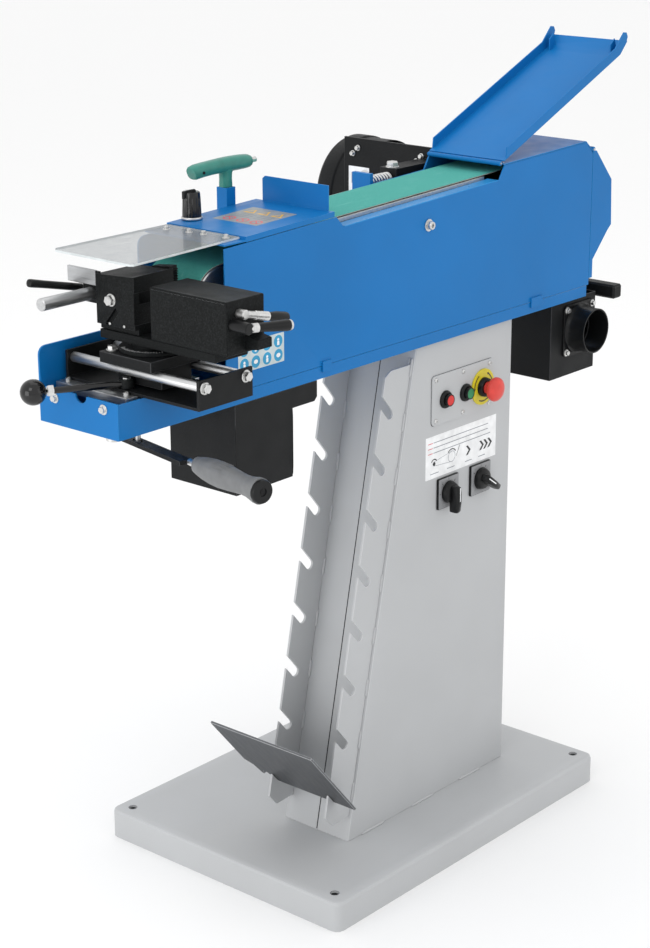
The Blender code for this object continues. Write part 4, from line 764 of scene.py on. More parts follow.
def safety_film():
    """Pale film with two rows of plain blue discs on the side cover."""
    x, z = (-0.43, -0.334), (0.886, 0.929)
    shapes = [(rounded_rectangle(x, z, 0.0008, 2), PALE_FILM, 0)]
    for row in range(2):
        for column in range(4):
            centre = (x[0] + 0.0125 + column * 0.0237, z[1] - 0.0115 - row * 0.0205)
            shapes.append((disc(centre, 0.009), SIGN_BLUE, 1))
            if (row + column) % 2:
                shapes.append((disc((centre[0], centre[1] + 0.0026), 0.0021, 16), WHITE, 2))
                shapes.append((bar((centre[0], centre[1] + 0.0002), (centre[0], centre[1] - 0.0056), 0.0022),
                               WHITE, 2))
            else:
                shapes.append((disc(centre, 0.0042, 20, 0.75), WHITE, 2))
    attach(gather("safety_film", film(shapes, HEAD_NEAR)), "side_cover", "blue_paint")


def rolled_flange():
    """Rounded flange that the side cover turns inwards along the finger notch, in the lighter edge blue that
    stands for the highlight band along it: painted highlight.
    """
    belt_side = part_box("belt_platen")[0].y - 0.0006
    outline = mm((-199, 1058.8), (176, 1074.7), (176, 1077), (-199, 1061.2))
    flange = prism("notch_flange", outline, "Y", HEAD_NEAR + 0.0001, belt_side, BLUE_EDGE_HIGHLIGHT, 0.0011, 3)
    attach(flange, "side_cover", "blue_paint")


def cover_screw():
    centre = node_centre("cover_screw")
    at = Vector((centre.x, HEAD_NEAR - 0.0003, centre.z))
    ring = mm((0, 0), (9.5, 0), (9.5, 1.2), (9, 1.6), (0, 1.6))
    parts = [turned("washer", ring, at, -Y_AXIS, ZINC, 40)]
    head = mm((0, 1.6), (6.2, 1.6), (6.5, 2.2), (6.5, 7.6), (5.8, 8.6), (3.4, 8.6), (3.1, 8.2), (3.1, 4.5),
              (0, 4.5))
    parts.append(turned("head", head, at, -Y_AXIS, ZINC, 40))
    shank = mm((0, -14.2), (3.6, -14.2), (3.9, -13.5), (3.9, 0.5), (0, 0.5))
    parts.append(turned("shank", shank, at, -Y_AXIS, ZINC, 24))
    finished("cover_screw", parts)


def trough_bolts():
    """Bolts through the trough's front wall and the chassis floor."""
    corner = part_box("head_frame")[0]
    floor_top = corner.z + 0.003
    parts = []
    for y, z in ((-0.112, 0.8815), (-0.0165, 0.88)):
        parts += hex_bolt((corner.x, y, z), -X_AXIS, 0.0085, 0.0045, 0.0072)
    for x in (-0.645, -0.63):
        parts += dome_screw((x, -0.02, floor_top), Z_AXIS, 0.004, 0.0025)
    for x in (0.01, 0.12, 0.215):
        for y in (-0.115, -0.01):
            parts += hex_bolt((x, y, floor_top), Z_AXIS, 0.013, 0.0065, 0.011)
    attach(gather("chassis_bolts", parts), "machine", "bright_steel")


def top_cover_z(x):
    """Upper face of the front top cover, between its front and rear ends."""
    verts = [v.co for v in frame["nodes"]["front_top_cover"].data.vertices]
    front = max(v.z for v in verts if abs(v.x - LID_FRONT) < 0.0003)
    rear = max(v.z for v in verts if abs(v.x - LID_REAR) < 0.0001)
    return front + (x - LID_FRONT) / (LID_REAR - LID_FRONT) * (rear - front)


def warning_film():
    """Silver film on the top cover: three yellow triangles, two grey rules and three red rings."""
    x, y = (-0.353, -0.266), (-0.106, -0.0195)
    layers = [(rounded_rectangle(x, y, 0.0008, 2), SILVER_FILM, 0)]
    for number in range(3):
        cy = y[0] + 0.015 + number * 0.026
        triangle = [(x[1] - 0.031, cy - 0.0105), (x[1] - 0.031, cy + 0.0105), (x[1] - 0.012, cy)]
        layers.append((triangle, SIGN_YELLOW, 1))
        small = [(x[1] - 0.028, cy - 0.0062), (x[1] - 0.028, cy + 0.0062), (x[1] - 0.017, cy)]
        layers.append((small, SILVER_FILM, 2))
        centre = (x[0] + 0.016, cy)
        layers.append((arc_stroke(centre, 0.0085, 0, 360, 0.0014, 32), SIGN_RED, 1))
        layers.append((bar((centre[0] - 0.006, centre[1] - 0.006), (centre[0] + 0.006, centre[1] + 0.006),
                           0.001), SIGN_RED, 1))
    for offset in (0.032, 0.04, 0.048):
        for start, end in ((0.008, 0.036), (0.044, 0.074)):
            rule = bar((x[0] + offset, y[0] + start), (x[0] + offset, y[0] + end), 0.0007)
            layers.append((rule, GREY_INK, 1))
    slope = atan2(top_cover_z(LID_REAR) - top_cover_z(LID_FRONT), LID_REAR - LID_FRONT)
    turn = Matrix.Rotation(-slope, 4, "Y") @ Matrix.Translation((-x[0], 0, 0))
    made = []
    for outline, paint, layer in layers:
        part = prism("film", outline, "Z", -0.0001, FILM * (layer + 1), paint)
        part.data.transform(Matrix.Translation((x[0], 0, top_cover_z(x[0]))) @ turn)
        made.append(part)
    attach(gather("warning_film", made), "machine", "blue_paint")


def knuckles(name, centre, start, end, radius, body, count=7):
    """Rolled hinge knuckles on a pin along Y, in turn a hair thicker, with small gaps between them."""
    parts = []
    pitch = (end - start) / count
    for number in range(count):
        low = start + number * pitch + 0.0006
        high = start + (number + 1) * pitch - 0.0006
        size = radius * (1.0 if number % 2 else 1.05)
        ring = [(0, low), (size - 0.0004, low), (size, low + 0.0005), (size, high - 0.0005),
                (size - 0.0004, high), (0, high)]
        parts.append(turned("knuckle", ring, centre, Y_AXIS, BLUE, 20))
    parts.append(cylinder("pin", radius * 0.5, start - 0.0006, end + 0.0006, centre, Y_AXIS, STEEL_Y, 16))
    attach(gather(name, parts), body, "blue_paint")


def piano_hinges():
    flap, rear = on_axis("top_flap_hinge") - Z_AXIS * 0.0005, on_axis("rear_cover_hinge")
    knuckles("flap_hinge_knuckles", flap, HEAD_NEAR + 0.004, 0.011, 0.0037, "machine")
    knuckles("rear_hinge_knuckles", rear, HEAD_NEAR + 0.002, 0.013, 0.0043, "rear_cover")
    screws = []
    for y in (-0.128, -0.09, -0.05, -0.01):
        screws += dome_screw((0.201, y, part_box("rear_top_cover")[1].z - 0.0081 + 0.0003), Z_AXIS, 0.003,
                             0.0014)
    attach(gather("hinge_rivets", screws), "machine", "bright_steel")


def shield():
    """Clear spark shield with frosted sawn edges and four screws along its rear edge."""
    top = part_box("spark_shield")[1].z
    data = node_mesh("spark_shield")
    for face in data.faces:
        face.normal_update()
        face.material_index = 0 if abs(face.normal.z) > 0.7 else 1
    piece = to_piece("spark_shield_finished", data, CLEAR, FROST)
    attach(piece, "machine", "clear_sheet", "spark_shield")
    screws = []
    for x, y in mm((-440, -14), (-433, -52), (-431, -78), (-428, -118)):
        at = Vector((x, y, top))
        ring = mm((0, 0), (5.2, 0), (5.2, 0.7), (4.9, 1), (0, 1))
        screws.append(turned("washer", ring, at, Z_AXIS, ZINC, 24))
        screws += cap_screw(at + Z_AXIS * 0.001, Z_AXIS, 0.0034, 0.0042)
    attach(gather("shield_screws", screws), "machine", "bright_steel")


# ---------------------------------------------------------------- knob and hex key
def tracking_knob():
    low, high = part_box("tracking_knob")
    at = PIVOT["tracking_turn"].copy()
    at.z = low.z + 0.012
    top = high.z - at.z - 0.0035
    ring = mm((0, 0), (15.2, 0), (15.5, 1), (15.5, 2.6), (14.8, 3.6), (0, 3.6))
    parts = [turned("ring", ring, at, Z_AXIS, STEEL_RING, 48)]
    steps, rings = 72, []
    for height, radius, depth in ((0.0034, 0.0136, 0), (0.004, 0.0139, 0.0004), (0.012, 0.0137, 0.0006),
                                  (0.03, 0.013, 0.0006),
                                  (top - 0.004, 0.0126, 0.0005), (top - 0.001, 0.0122, 0), (top, 0.0113, 0)):
        section = []
        for i, t in enumerate(around(steps)):
            flute = depth * (1 if i % 4 < 2 else 0)
            section.append(at + Vector(((radius - flute) * cos(t), (radius - flute) * sin(t), height)))
        rings.append(section)
    parts.append(loft("body", rings, BLACK_GLOSS, 30))
    pointer = mm((-17.2, -9), (-17.2, 2), (-10, 3.2), (6, 2.8), (8, -1), base=(0, top))
    ridge = prism("ridge", pointer, "Y", -0.0024, 0.0024, BLACK_PLASTIC, 0.0005)
    ridge.data.transform(Matrix.Translation(at))
    parts.append(ridge)
    line = mm((-14, -0.5), (4, -0.5), (4, 0.5), (-14, 0.5))
    mark = prism("mark", line, "Z", top + 0.0029, top + 0.00335, WHITE)
    mark.data.transform(Matrix.Translation(at))
    parts.append(mark)
    parts.append(cylinder("stud", 0.004, low.z - at.z, 0.0005, at, Z_AXIS, STEEL_RING, 20))
    finished("tracking_knob", parts)


def hex_key():
    """T-shaped moulded handle, one end swept down and cut off slantwise, on a hexagon blade."""
    low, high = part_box("hex_key_handle")
    blade = node_centre("hex_key_blade")
    top = high.z
    stations = (
        # x along the bar, centre height below the top, half width, half height
        (low.x + 0.0005, -0.0175, 0.009, 0.0085), (low.x + 0.003, -0.0168, 0.0102, 0.0098),
        (low.x + 0.012, -0.0155, 0.011, 0.0108), (low.x + 0.026, -0.0143, 0.011, 0.0106),
        (low.x + 0.044, -0.0134, 0.0108, 0.0106), (low.x + 0.064, -0.0128, 0.0106, 0.011),
        (low.x + 0.082, -0.0127, 0.0108, 0.0111), (low.x + 0.096, -0.0128, 0.011, 0.011),
        (low.x + 0.11, -0.013, 0.0112, 0.0106), (low.x + 0.121, -0.0131, 0.0108, 0.0098),
        (low.x + 0.1255, -0.0132, 0.009, 0.008), (low.x + 0.1275, -0.0132, 0.0062, 0.0052))
    rings = []
    for x, drop, half_y, half_z in stations:
        section = []
        slant = 0.008 if x < low.x + 0.006 else 0
        for t in around(28):
            across = half_y * bulge(cos(t), 0.8)
            up = half_z * bulge(sin(t), 0.8)
            section.append(Vector((x - slant * up / 0.02 + slant * 0.5, blade.y + across, top + drop + up)))
        rings.append(section)
    parts = [loft("bar", rings, GREEN_HANDLE, 60)]
    stem = []
    foot = low.z
    for height, half_x, half_y in mm((0, 9.8, 9.4), (2, 10.2, 9.8), (12, 9.8, 9.2), (20, 10.6, 9.2),
                                     (26, 14, 9.8), (30, 18.5, 10.2), (34, 21, 10), (38, 19, 8)):
        stem.append([Vector((blade.x + half_x * cos(t), blade.y + half_y * sin(t), foot + height))
                     for t in around(28)])
    parts.append(loft("stem", stem, GREEN_HANDLE, 60))
    tip = mm((0, 0), (4.6, 0), (4.6, 22.5), (4, 23.5), (0, 23.5))
    parts.append(turned("side_tip", tip, (high.x - 0.024, blade.y, top - 0.0132), X_AXIS, ZINC, 6, crease=20))
    at = (low.x + 0.019, blade.y, top - 0.0165)
    parts.append(cylinder("eye", 0.0022, -0.0122, 0.0122, at, Y_AXIS, SHADOW_GAP, 16))
    finished("hex_key_handle", parts)
    low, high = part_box("hex_key_blade")
    length = high.z - low.z
    shape = mm((0, 0), (3.8, 0), (4.5, 0.7)) + [(0.0045, length), (0, length)]
    attach(turned("hex_key_blade_finished", shape, (blade.x, blade.y, low.z), Z_AXIS, ZINC, 6, crease=20),
           "hex_key", "bright_steel", "hex_key_blade")


# ---------------------------------------------------------------- belt, rollers and platen
def belt_geometry():
    """Centres and outer radii of the belt's two bends, from the belt's own box and the two pivots."""
    roller, wheel = PIVOT["roller_spin"], PIVOT["drive_spin"]
    low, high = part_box("abrasive_belt")
    return roller, roller.x - low.x, wheel, high.x - wheel.x


def belt_crest():
    """Point of the belt's outer side where the grinding table's front edge lifts it."""
    verts = [v.co for v in frame["nodes"]["abrasive_belt"].data.vertices]
    return max((v for v in verts if -0.25 < v.x < -0.15), key=lambda v: v.z)


def belt_loop(inset, roller_steps=48, wheel_steps=72, run_steps=40):
    roller, roller_radius, wheel, wheel_radius = belt_geometry()
    crest = belt_crest()
    distance = hypot(wheel.x - roller.x, wheel.z - roller.z)
    tilt = atan2(wheel.z - roller.z, wheel.x - roller.x)
    lower = tilt - pi / 2 - asin((wheel_radius - roller_radius) / distance)

    def touching_turn(centre, radius, side):
        away = atan2(crest.z - centre.z, crest.x - centre.x)
        return away + side * acos(radius / hypot(crest.x - centre.x, crest.z - centre.z))

    def bend(centre, radius, start, stop, steps):
        turns = [start + (stop - start) * i / steps for i in range(steps + 1)]
        return [(centre.x + (radius - inset) * cos(t), centre.z + (radius - inset) * sin(t)) for t in turns]

    front = bend(roller, roller_radius, touching_turn(roller, roller_radius, 1), lower + 2 * pi, roller_steps)
    rear = bend(wheel, wheel_radius, lower, touching_turn(wheel, wheel_radius, -1), wheel_steps)
    top = [(crest.x, crest.z - inset)]
    points = []
    for run, start in ((front, rear[0]), (rear, top[0]), (top, front[0])):
        points += run
        last = Vector(run[-1])
        points += [tuple(last.lerp(Vector(start), i / run_steps)) for i in range(1, run_steps)]
    return points


def belt():
    """Abrasive outside on a cloth backing, with a pale cut edge."""
    thickness = 0.0016
    outer, middle, inner = belt_loop(0), belt_loop(0.0007), belt_loop(thickness)
    data = bmesh.new()
    loops = []
    for outline, y in ((outer, BELT_LOW + 0.0002), (outer, BELT_HIGH - 0.0002), (middle, BELT_HIGH),
                       (inner, BELT_HIGH),
                       (inner, BELT_LOW), (middle, BELT_LOW)):
        loops.append([data.verts.new((x, y, z)) for x, z in outline])
    for index, (first, second) in enumerate(zip(loops, loops[1:] + loops[:1])):
        for i in range(len(first)):
            j = (i + 1) % len(first)
            face = data.faces.new((first[i], first[j], second[j], second[i]))
            face.material_index = 0 if index in (0, 1, 5) else 1
    attach(to_piece("abrasive_belt_finished", data, GRAIN, CLOTH), "machine", "green_abrasive",
           "abrasive_belt")


def rollers():
    roller = PIVOT["roller_spin"]
    low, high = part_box("contact_roller")
    radius = high.x - roller.x
    half = (high.y - low.y) / 2
    centre = Vector((roller.x, (low.y + high.y) / 2, roller.z))
    ring = mm((12.6, 4), (17, 4), (17.5, 1.5), (20, 0), base=(0, -half))
    ring += [(radius - 0.0016, -half), (radius, -half + 0.0016), (radius, half - 0.0016),
             (radius - 0.0016, half), (0.0126, half)]
    body = turned("body", ring, centre, Y_AXIS, STEEL_RING, 72)
    seal = mm((12.7, 4.6), (12.7, 1.6), (16.8, 1.6), (16.8, 4.6), base=(0, -half))
    parts = [body, turned("seal", seal, centre, Y_AXIS, BLACK_PLASTIC, 48)]
    for t in around(6):
        at = centre + Vector((0.0262 * cos(t), -half, 0.0262 * sin(t)))
        parts.append(cylinder("balance_hole", 0.0022, 0.00012, -0.0006, at, -Y_AXIS, SHADOW_GAP, 16))
    finished("contact_roller", parts)
    low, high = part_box("roller_axle")
    axle = on_axis("roller_spin")
    near, wall = low.y, HEAD_FAR
    shape = mm((0, 0), (7.8, 0), (9, 1), (9, 3), (13.5, 3), (13.5, 7.4), (11.8, 7.8), base=(0, near))
    shape += mm((11.8, -9.5), (21.5, -9.2), (22, -8.6)) + [(0.022, wall - 0.0035), (0.006, wall - 0.0033),
                                                           (0.006, high.y), (0, high.y)]
    axle_parts = [turned("shaft", shape, axle, Y_AXIS, STEEL_RING, 48)]
    axle_parts += hex_bolt(axle + Y_AXIS * (wall + 0.0003), Y_AXIS, 0.0185, 0.0074, 0.0108)
    finished("roller_axle", axle_parts)


def drive_wheel():
    wheel = PIVOT["drive_spin"]
    low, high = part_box("drive_wheel")
    radius, half = high.x - wheel.x, (high.y - low.y) / 2
    centre = Vector((wheel.x, (low.y + high.y) / 2, wheel.z))
    rim = radius - 0.009
    near_half = mm((12.5, 0), (24, 0), (26, 2), base=(0, -half))
    near_half += [(0.029, -0.01), (0.034, -0.007), (rim - 0.006, -0.006), (rim, -0.011), (rim, -half + 0.001)]
    near_half += [(rim + 0.001, -half), (radius - 0.0016, -half), (radius, -half + 0.0016)]
    ring = near_half + [(across, -along) for across, along in reversed(near_half)]
    finish = turned("drive_wheel_finished", ring, centre, Y_AXIS, DARK_STEEL, 96)
    attach(finish, "drive", "dark_steel", "drive_wheel")
    low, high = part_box("motor_shaft")
    axis = on_axis("drive_spin")
    shape = mm((0, 0), (17.2, 0), (18, 0.8), (18, 5.7), (12, 5.7), base=(0, low.y))
    shape += [(0.012, high.y), (0, high.y)]
    finished("motor_shaft", [turned("shaft", shape, axis, Y_AXIS, STEEL_RING, 40)])


# ---------------------------------------------------------------- extraction
def extraction():
    rounded_node("front_dust_box", 0.0008)
    rounded_node("rear_dust_box", 0.0008)
    centre = node_centre("dust_nozzle")
    low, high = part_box("dust_nozzle")
    outline = rounded_rectangle((low.x, high.x), (low.z, high.z), 0.009, 6)
    plate = prism("plate", outline, "Y", high.y - 0.003, high.y, BLACK_PLASTIC, 0.0006)
    at = (centre.x, high.y, centre.z)
    cut(plate, cylinder("bore", 0.036, -0.03, 0.03, at, Y_AXIS, BLACK_PLASTIC, 64))
    reach = high.y - low.y
    spout = mm((35.9, 0.8), (42.5, 2.6), (40.2, 6), (38.8, 11), (38.3, 20))
    spout += mm((38.3, -3), (38.5, -2.4), (38.5, -0.4), (38, 0), (36.6, 0), (36, -0.8), base=(0, reach))
    parts = [plate, turned("spout", spout, at, -Y_AXIS, BLACK_PLASTIC, 72)]
    finished("dust_nozzle", parts)
    screws = []
    for dx in (-0.037, 0.037):
        for dz in (-0.037, 0.037):
            screws += hex_bolt((centre.x + dx, high.y - 0.003, centre.z + dz), -Y_AXIS, 0.0075, 0.0042, 0.006)
    attach(gather("nozzle_bolts", screws), "machine", "bright_steel")
    box_low, box_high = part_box("front_dust_box")
    beads = []
    for x in (box_low.x, -0.317):
        start, end = (x, HEAD_NEAR, box_low.z + 0.004), (x, HEAD_NEAR, box_high.z - 0.03)
        beads.append(weld_bead("bead", start, end, 0.0008, BLACK, 2))
    attach(gather("dust_box_seams", beads), "machine", "black_paint")


# ---------------------------------------------------------------- motor and rocker
def motor():
    low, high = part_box("motor_body")
    centre = on_axis("drive_spin")
    start, end = low.y, high.y
    radius = 0.088
    shape = mm((12.7, 0), (30, 0), (34, 4), (50, 4), (66, 9), (89.5, 11), (92, 13), (92, 22), (80, 24),
               base=(0, start))
    shape += mm((80, -8), (90.5, -6), (90.5, 0), (0, 0), base=(0, end))
    shape += mm((0, 50), (12.7, 50), base=(0, start))
    parts = [turned("frame", shape, centre, Y_AXIS, BLACK, 72)]
    fins = bmesh.new()
    for t in around(56):
        out = Vector((cos(t), 0, sin(t)))
        if out.x < -0.55 or (out.x > 0.8 and abs(out.z) < 0.5):
            continue                           # no fins behind the feet or the terminal box
        across = Vector((-sin(t), 0, cos(t)))
        corners = []
        for along in (start + 0.023, end - 0.007):
            for reach, half in ((0.079, 0.0015), (radius, 0.0008)):
                foot = centre + Y_AXIS * along + out * reach
                for side in (-1, 1):
                    corners.append(fins.verts.new(foot + across * half * side))
        a, b, c, d, e, f, g, h = corners
        for quad in ((a, b, d, c), (e, g, h, f), (a, c, g, e), (b, f, h, d), (c, d, h, g), (a, e, f, b)):
            fins.faces.new(quad)
    parts.append(to_piece("fins", fins, BLACK))
    foot_low, foot_high = 0.926, 1.051         # lower and upper ends of the motor's mounting feet
    for z in ((foot_low, foot_low + 0.024), (foot_high - 0.024, foot_high)):
        parts.append(block("foot", (low.x, low.x + 0.011), (0.052, 0.19), z, BLACK, 0.0015))
    for z in (foot_low + 0.012, foot_high - 0.012):
        web = mm((5, -4), (40, -2), (40, 2), (5, 4), base=(low.x, z))
        parts.append(prism("web", web, "Y", 0.058, 0.184, BLACK, 0.001))
    box_x = high.x                             # outer face of the terminal box's lid
    outline = rounded_rectangle((0.075, 0.165), (0.945, 1.032), 0.008)
    parts.append(prism("terminal_box", outline, "X", box_x - 0.046, box_x - 0.007, BLACK, 0.0012))
    outline = rounded_rectangle((0.0735, 0.1665), (0.9435, 1.0335), 0.009)
    parts.append(prism("terminal_lid", outline, "X", box_x - 0.0066, box_x, BLACK, 0.0016))
    for y in (0.081, 0.159):
        for z in (0.951, 1.026):
            parts += dome_screw((box_x - 0.0012, y, z), X_AXIS, 0.003, 0.0012)
    gland = mm((4.5, -2), (10, -2), (10, 4), (8.8, 4.5), (8.8, 14), (7, 17), (4.5, 17))
    parts.append(turned("gland", gland, (box_x - 0.027, 0.1, 0.945), -Z_AXIS, BLACK_PLASTIC, 24))
    tilt = radians(64)
    outline = rounded_rectangle((-0.027, 0.027), (-0.017, 0.017), 0.002)
    name_plate = prism("name_plate", outline, "Z", 0, 0.0006, SILVER_FILM)
    out = Vector((cos(tilt), 0, sin(tilt)))
    turn = Matrix((Y_AXIS, out.cross(Y_AXIS), out)).transposed().to_4x4()
    name_plate.data.transform(Matrix.Translation(centre + Y_AXIS * 0.122 + out * (radius + 0.0002)) @ turn)
    parts.append(name_plate)
    finished("motor_body", parts)
    fan_cowl(centre)


def fan_cowl(centre):
    """Pressed cowl with a ring of slots round the dark fan opening in its end."""
    low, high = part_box("fan_cover")
    start, end = low.y, high.y
    radius = (high.x - low.x) / 2
    shell = [(0, start)] + mm((-2.6, 0), (-2.6, 49.5), (-1.2, 50.5), (0, 52), base=(radius, start))
    shell += mm((0, -9), (-3, -3.5), (-10, 0), base=(radius, end)) + [(0, end)]
    outer = turned("cowl", shell, centre, Y_AXIS, BLACK, 96)
    hollow = [(0, start - 0.01)] + mm((-4.5, -10), (-4.5, 50.5), (-2, 52.5), base=(radius, start))
    hollow += mm((-2, -9.5), (-4.5, -5.5), (-11, -2), base=(radius, end)) + [(0, end - 0.002)]
    cut(outer, turned("hollow", hollow, centre, Y_AXIS, BLACK, 96))
    slots = []
    for ring_radius, count in ((0.03, 12), (0.045, 18), (0.06, 24), (0.074, 30)):
        for t in around(count):
            at = centre + Vector((ring_radius * cos(t), 0, ring_radius * sin(t)))
            slots.append(cylinder("slot", 0.0042, end - 0.0004, end + 0.00015, at, Y_AXIS, SHADOW_GAP, 16))
    finished("fan_cover", [outer] + slots)


def rocker():
    rounded_node("motor_plate", 0.0006)
    rounded_node("release_bar", 0.0012)
    front = 0.2253                             # front face of the motor plate
    bolts = []
    for y, z in mm((203.5, 1076.5), (192.5, 1086.5), (66.5, 1077.5), (55.5, 1087)):
        bolts += hex_bolt((front, y, z), -X_AXIS, 0.007, 0.0042, 0.005)
    for y in (0.065, 0.177):
        for z in (0.938, 1.039):
            bolts += hex_bolt((front, y, z), -X_AXIS, 0.013, 0.007, 0.0115)
    bolts += hex_bolt((0.129, 0.0392, 1.0840), Z_AXIS, 0.017, 0.0075, 0.011)
    attach(gather("rocker_bolts", bolts), "rocker", "bright_steel")
    shapes = []
    outline = rounded_rectangle((0.168, 0.213), (1.0070, 1.0545), 0.0006, 2)
    shapes.append(prism("film", outline, "X", front - 0.00025, front + 0.0001, WHITE))
    for start, end in (((0.206, 1.044), (0.206, 1.026)), ((0.206, 1.026), (0.196, 1.022)),
                       ((0.2, 1.020), (0.182, 1.016))):
        shapes.append(prism("film", bar(start, end, 0.0006), "X", front - 0.0004, front, GREY_INK))
    attach(gather("tension_label", shapes), "rocker", "black_paint")


def tension_spring():
    """Round-wire coil between the stud's seat and the rocker's arm, ground flat turns at both ends."""
    low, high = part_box("tension_spring")
    centre = (low + high) / 2
    wire = 0.0019
    radius = (high.z - low.z) / 2 - wire
    turns, steps, dead = 9.5, 24, 0.9          # coils, points per coil, and the flat coils at each end
    start, end = low.x + wire, high.x - wire
    path = []
    for i in range(int(turns * steps) + 1):
        turn = i / steps
        share = min(1.0, max(0, (turn - dead) / (turns - 2 * dead)))
        creep = 0.0016 * (min(turn, dead) / dead)
        tail = 0.0016 * (max(0, turn - (turns - dead)) / dead)
        x = start + creep + tail + share * (end - start - 0.0032)
        angle = 2 * pi * turn
        path.append(Vector((x, centre.y + radius * cos(angle), centre.z + radius * sin(angle))))
    coil = swept_tube("tension_spring_finished", path, wire, ZINC, 10)
    attach(coil, "machine", "bright_steel", "tension_spring")
    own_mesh(coil)


# ---------------------------------------------------------------- carriage and vise
def guide_rod(node):
    centre = node_centre(node)
    near, far = (corner.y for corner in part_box("cross_channel"))
    at = Vector((centre.x, 0, centre.z))
    bar_shape = mm((0, 4.4), (6.6, 4.4), (7, 5), base=(0, near))
    bar_shape += mm((7, -5), (6.6, -4.4), (0, -4.4), base=(0, far))
    parts = [turned("bar", bar_shape, at, Y_AXIS, STEEL_Y, 40)]
    for face, axis in ((near, -Y_AXIS), (far, Y_AXIS)):
        parts.append(cylinder("shank", 0.005, -0.006, 0.002, at + Y_AXIS * face, axis, ZINC, 20))
        seat = at + Y_AXIS * face + axis * 0.0003
        ring = mm((0, 0), (8.6, 0), (8.8, 0.6), (8, 1.6), (0, 1.6))
        parts.append(turned("flange", ring, seat, axis, ZINC, 32))
        parts += hex_bolt(seat + axis * 0.0012, axis, 0.012, 0.004 if axis.y > 0 else 0.0056)
    finished(node, parts)


def carriage():
    # Its rounded edges take the lighter bright steel, standing for the highlights along them: painted highlight.
    rounded_node("feed_slide_plate", 0.0008, 2, (PAINT_STEEL, STEEL_X))
    rounded_node("cross_channel", 0.0008)
    guide_rod("guide_rod_front")
    guide_rod("guide_rod_rear")
    rounded_node("slide_block", 0.001)
    low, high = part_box("feed_slide_plate")
    screws = []
    for x in (low.x + 0.012, high.x - 0.012):
        for y in (low.y + 0.012, high.y - 0.012):
            screws += cap_screw((x, y, high.z), Z_AXIS, 0.0042, 0.004)
    attach(gather("slide_plate_screws", screws), "carriage", "bright_steel")
    block_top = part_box("slide_block")[1].z
    screws = []
    for x, y in mm((-613, -79), (-532, -79), (-532, -157)):
        ring = mm((0, 0), (8.2, 0), (8.2, 1), (7.8, 1.4), (0, 1.4))
        screws.append(turned("washer", ring, (x, y, block_top), Z_AXIS, ZINC, 28))
        screws += hex_bolt((x, y, block_top + 0.0014), Z_AXIS, 0.011, 0.005)
    attach(gather("slide_block_screws", screws), "cross_slide", "bright_steel")


def ball_lever():
    """Bent bar with a black ball knob and its lock nut, on a boss with a hexagon top."""
    at = PIVOT["cross_clamp_turn"]
    direction = Vector((-0.866, 0.5, 0)).normalized()
    boss = mm((0, -5.5), (9.6, -5.5), (10, -5), (10, 6), (9.2, 7.2), (0, 7.2))
    parts = [turned("boss", boss, at, Z_AXIS, CAST_BLACK, 32)]
    parts += hex_bolt(at + Z_AXIS * 0.007, Z_AXIS, 0.0105, 0.002)
    arm = mm((0, 0), (5.5, 0), (5.4, 12), (4.8, 50), (4.5, 102), (0, 102))
    parts.append(turned("arm", arm, at, direction, BLACK_GLOSS, 28))
    parts += hex_bolt(at + direction * 0.101, direction, 0.014, 0.008)
    ball = [(0, 0.1086)]
    centre, radius = 0.128, 0.0178
    for i in range(17):
        t = radians(-72 + i * 162 / 16)
        ball.append((radius * cos(t), centre + radius * sin(t)))
    ball[-1] = (0, centre + radius)
    parts.append(turned("ball", ball, at, direction, BLACK_GLOSS, 56, crease=60))
    finished("cross_clamp_lever", parts)


def vise_base():
    low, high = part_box("vise_base")
    pivot = PIVOT["vise_swivel"]
    base, rings = low.z, []
    for height, radius in mm((0, 47), (0.6, 47.8), (4.4, 47.8), (5.6, 46.2), (5.6, 30), (5.8, 29.6),
                             (11.2, 29.6)):
        rings.append([Vector((pivot.x + radius * cos(t), pivot.y + radius * sin(t), base + height))
                      for t in around(120)])
    parts = [loft("disc", rings, CAST_BLACK, 30)]
    middle, reach = Vector((pivot.x, pivot.y)), 0.0458
    for number in range(19):
        t = radians(150 + number * 5)
        length = 0.0062 if number % 3 == 0 else 0.0038
        out = Vector((cos(t), sin(t)))
        outline = bar(middle + out * (reach - length), middle + out * reach, 0.0003)
        parts.append(prism("tick", outline, "Z", base + 0.0055, base + 0.0058, WHITE))
    attach(gather("vise_disc", parts), "vise", "black_paint", "vise_base")
    bed = block("vise_bed", (-0.604, -0.541), (low.y, high.y), (0.9586, high.z), CAST_BLACK, 0.001)
    attach(bed, "vise", "black_paint")


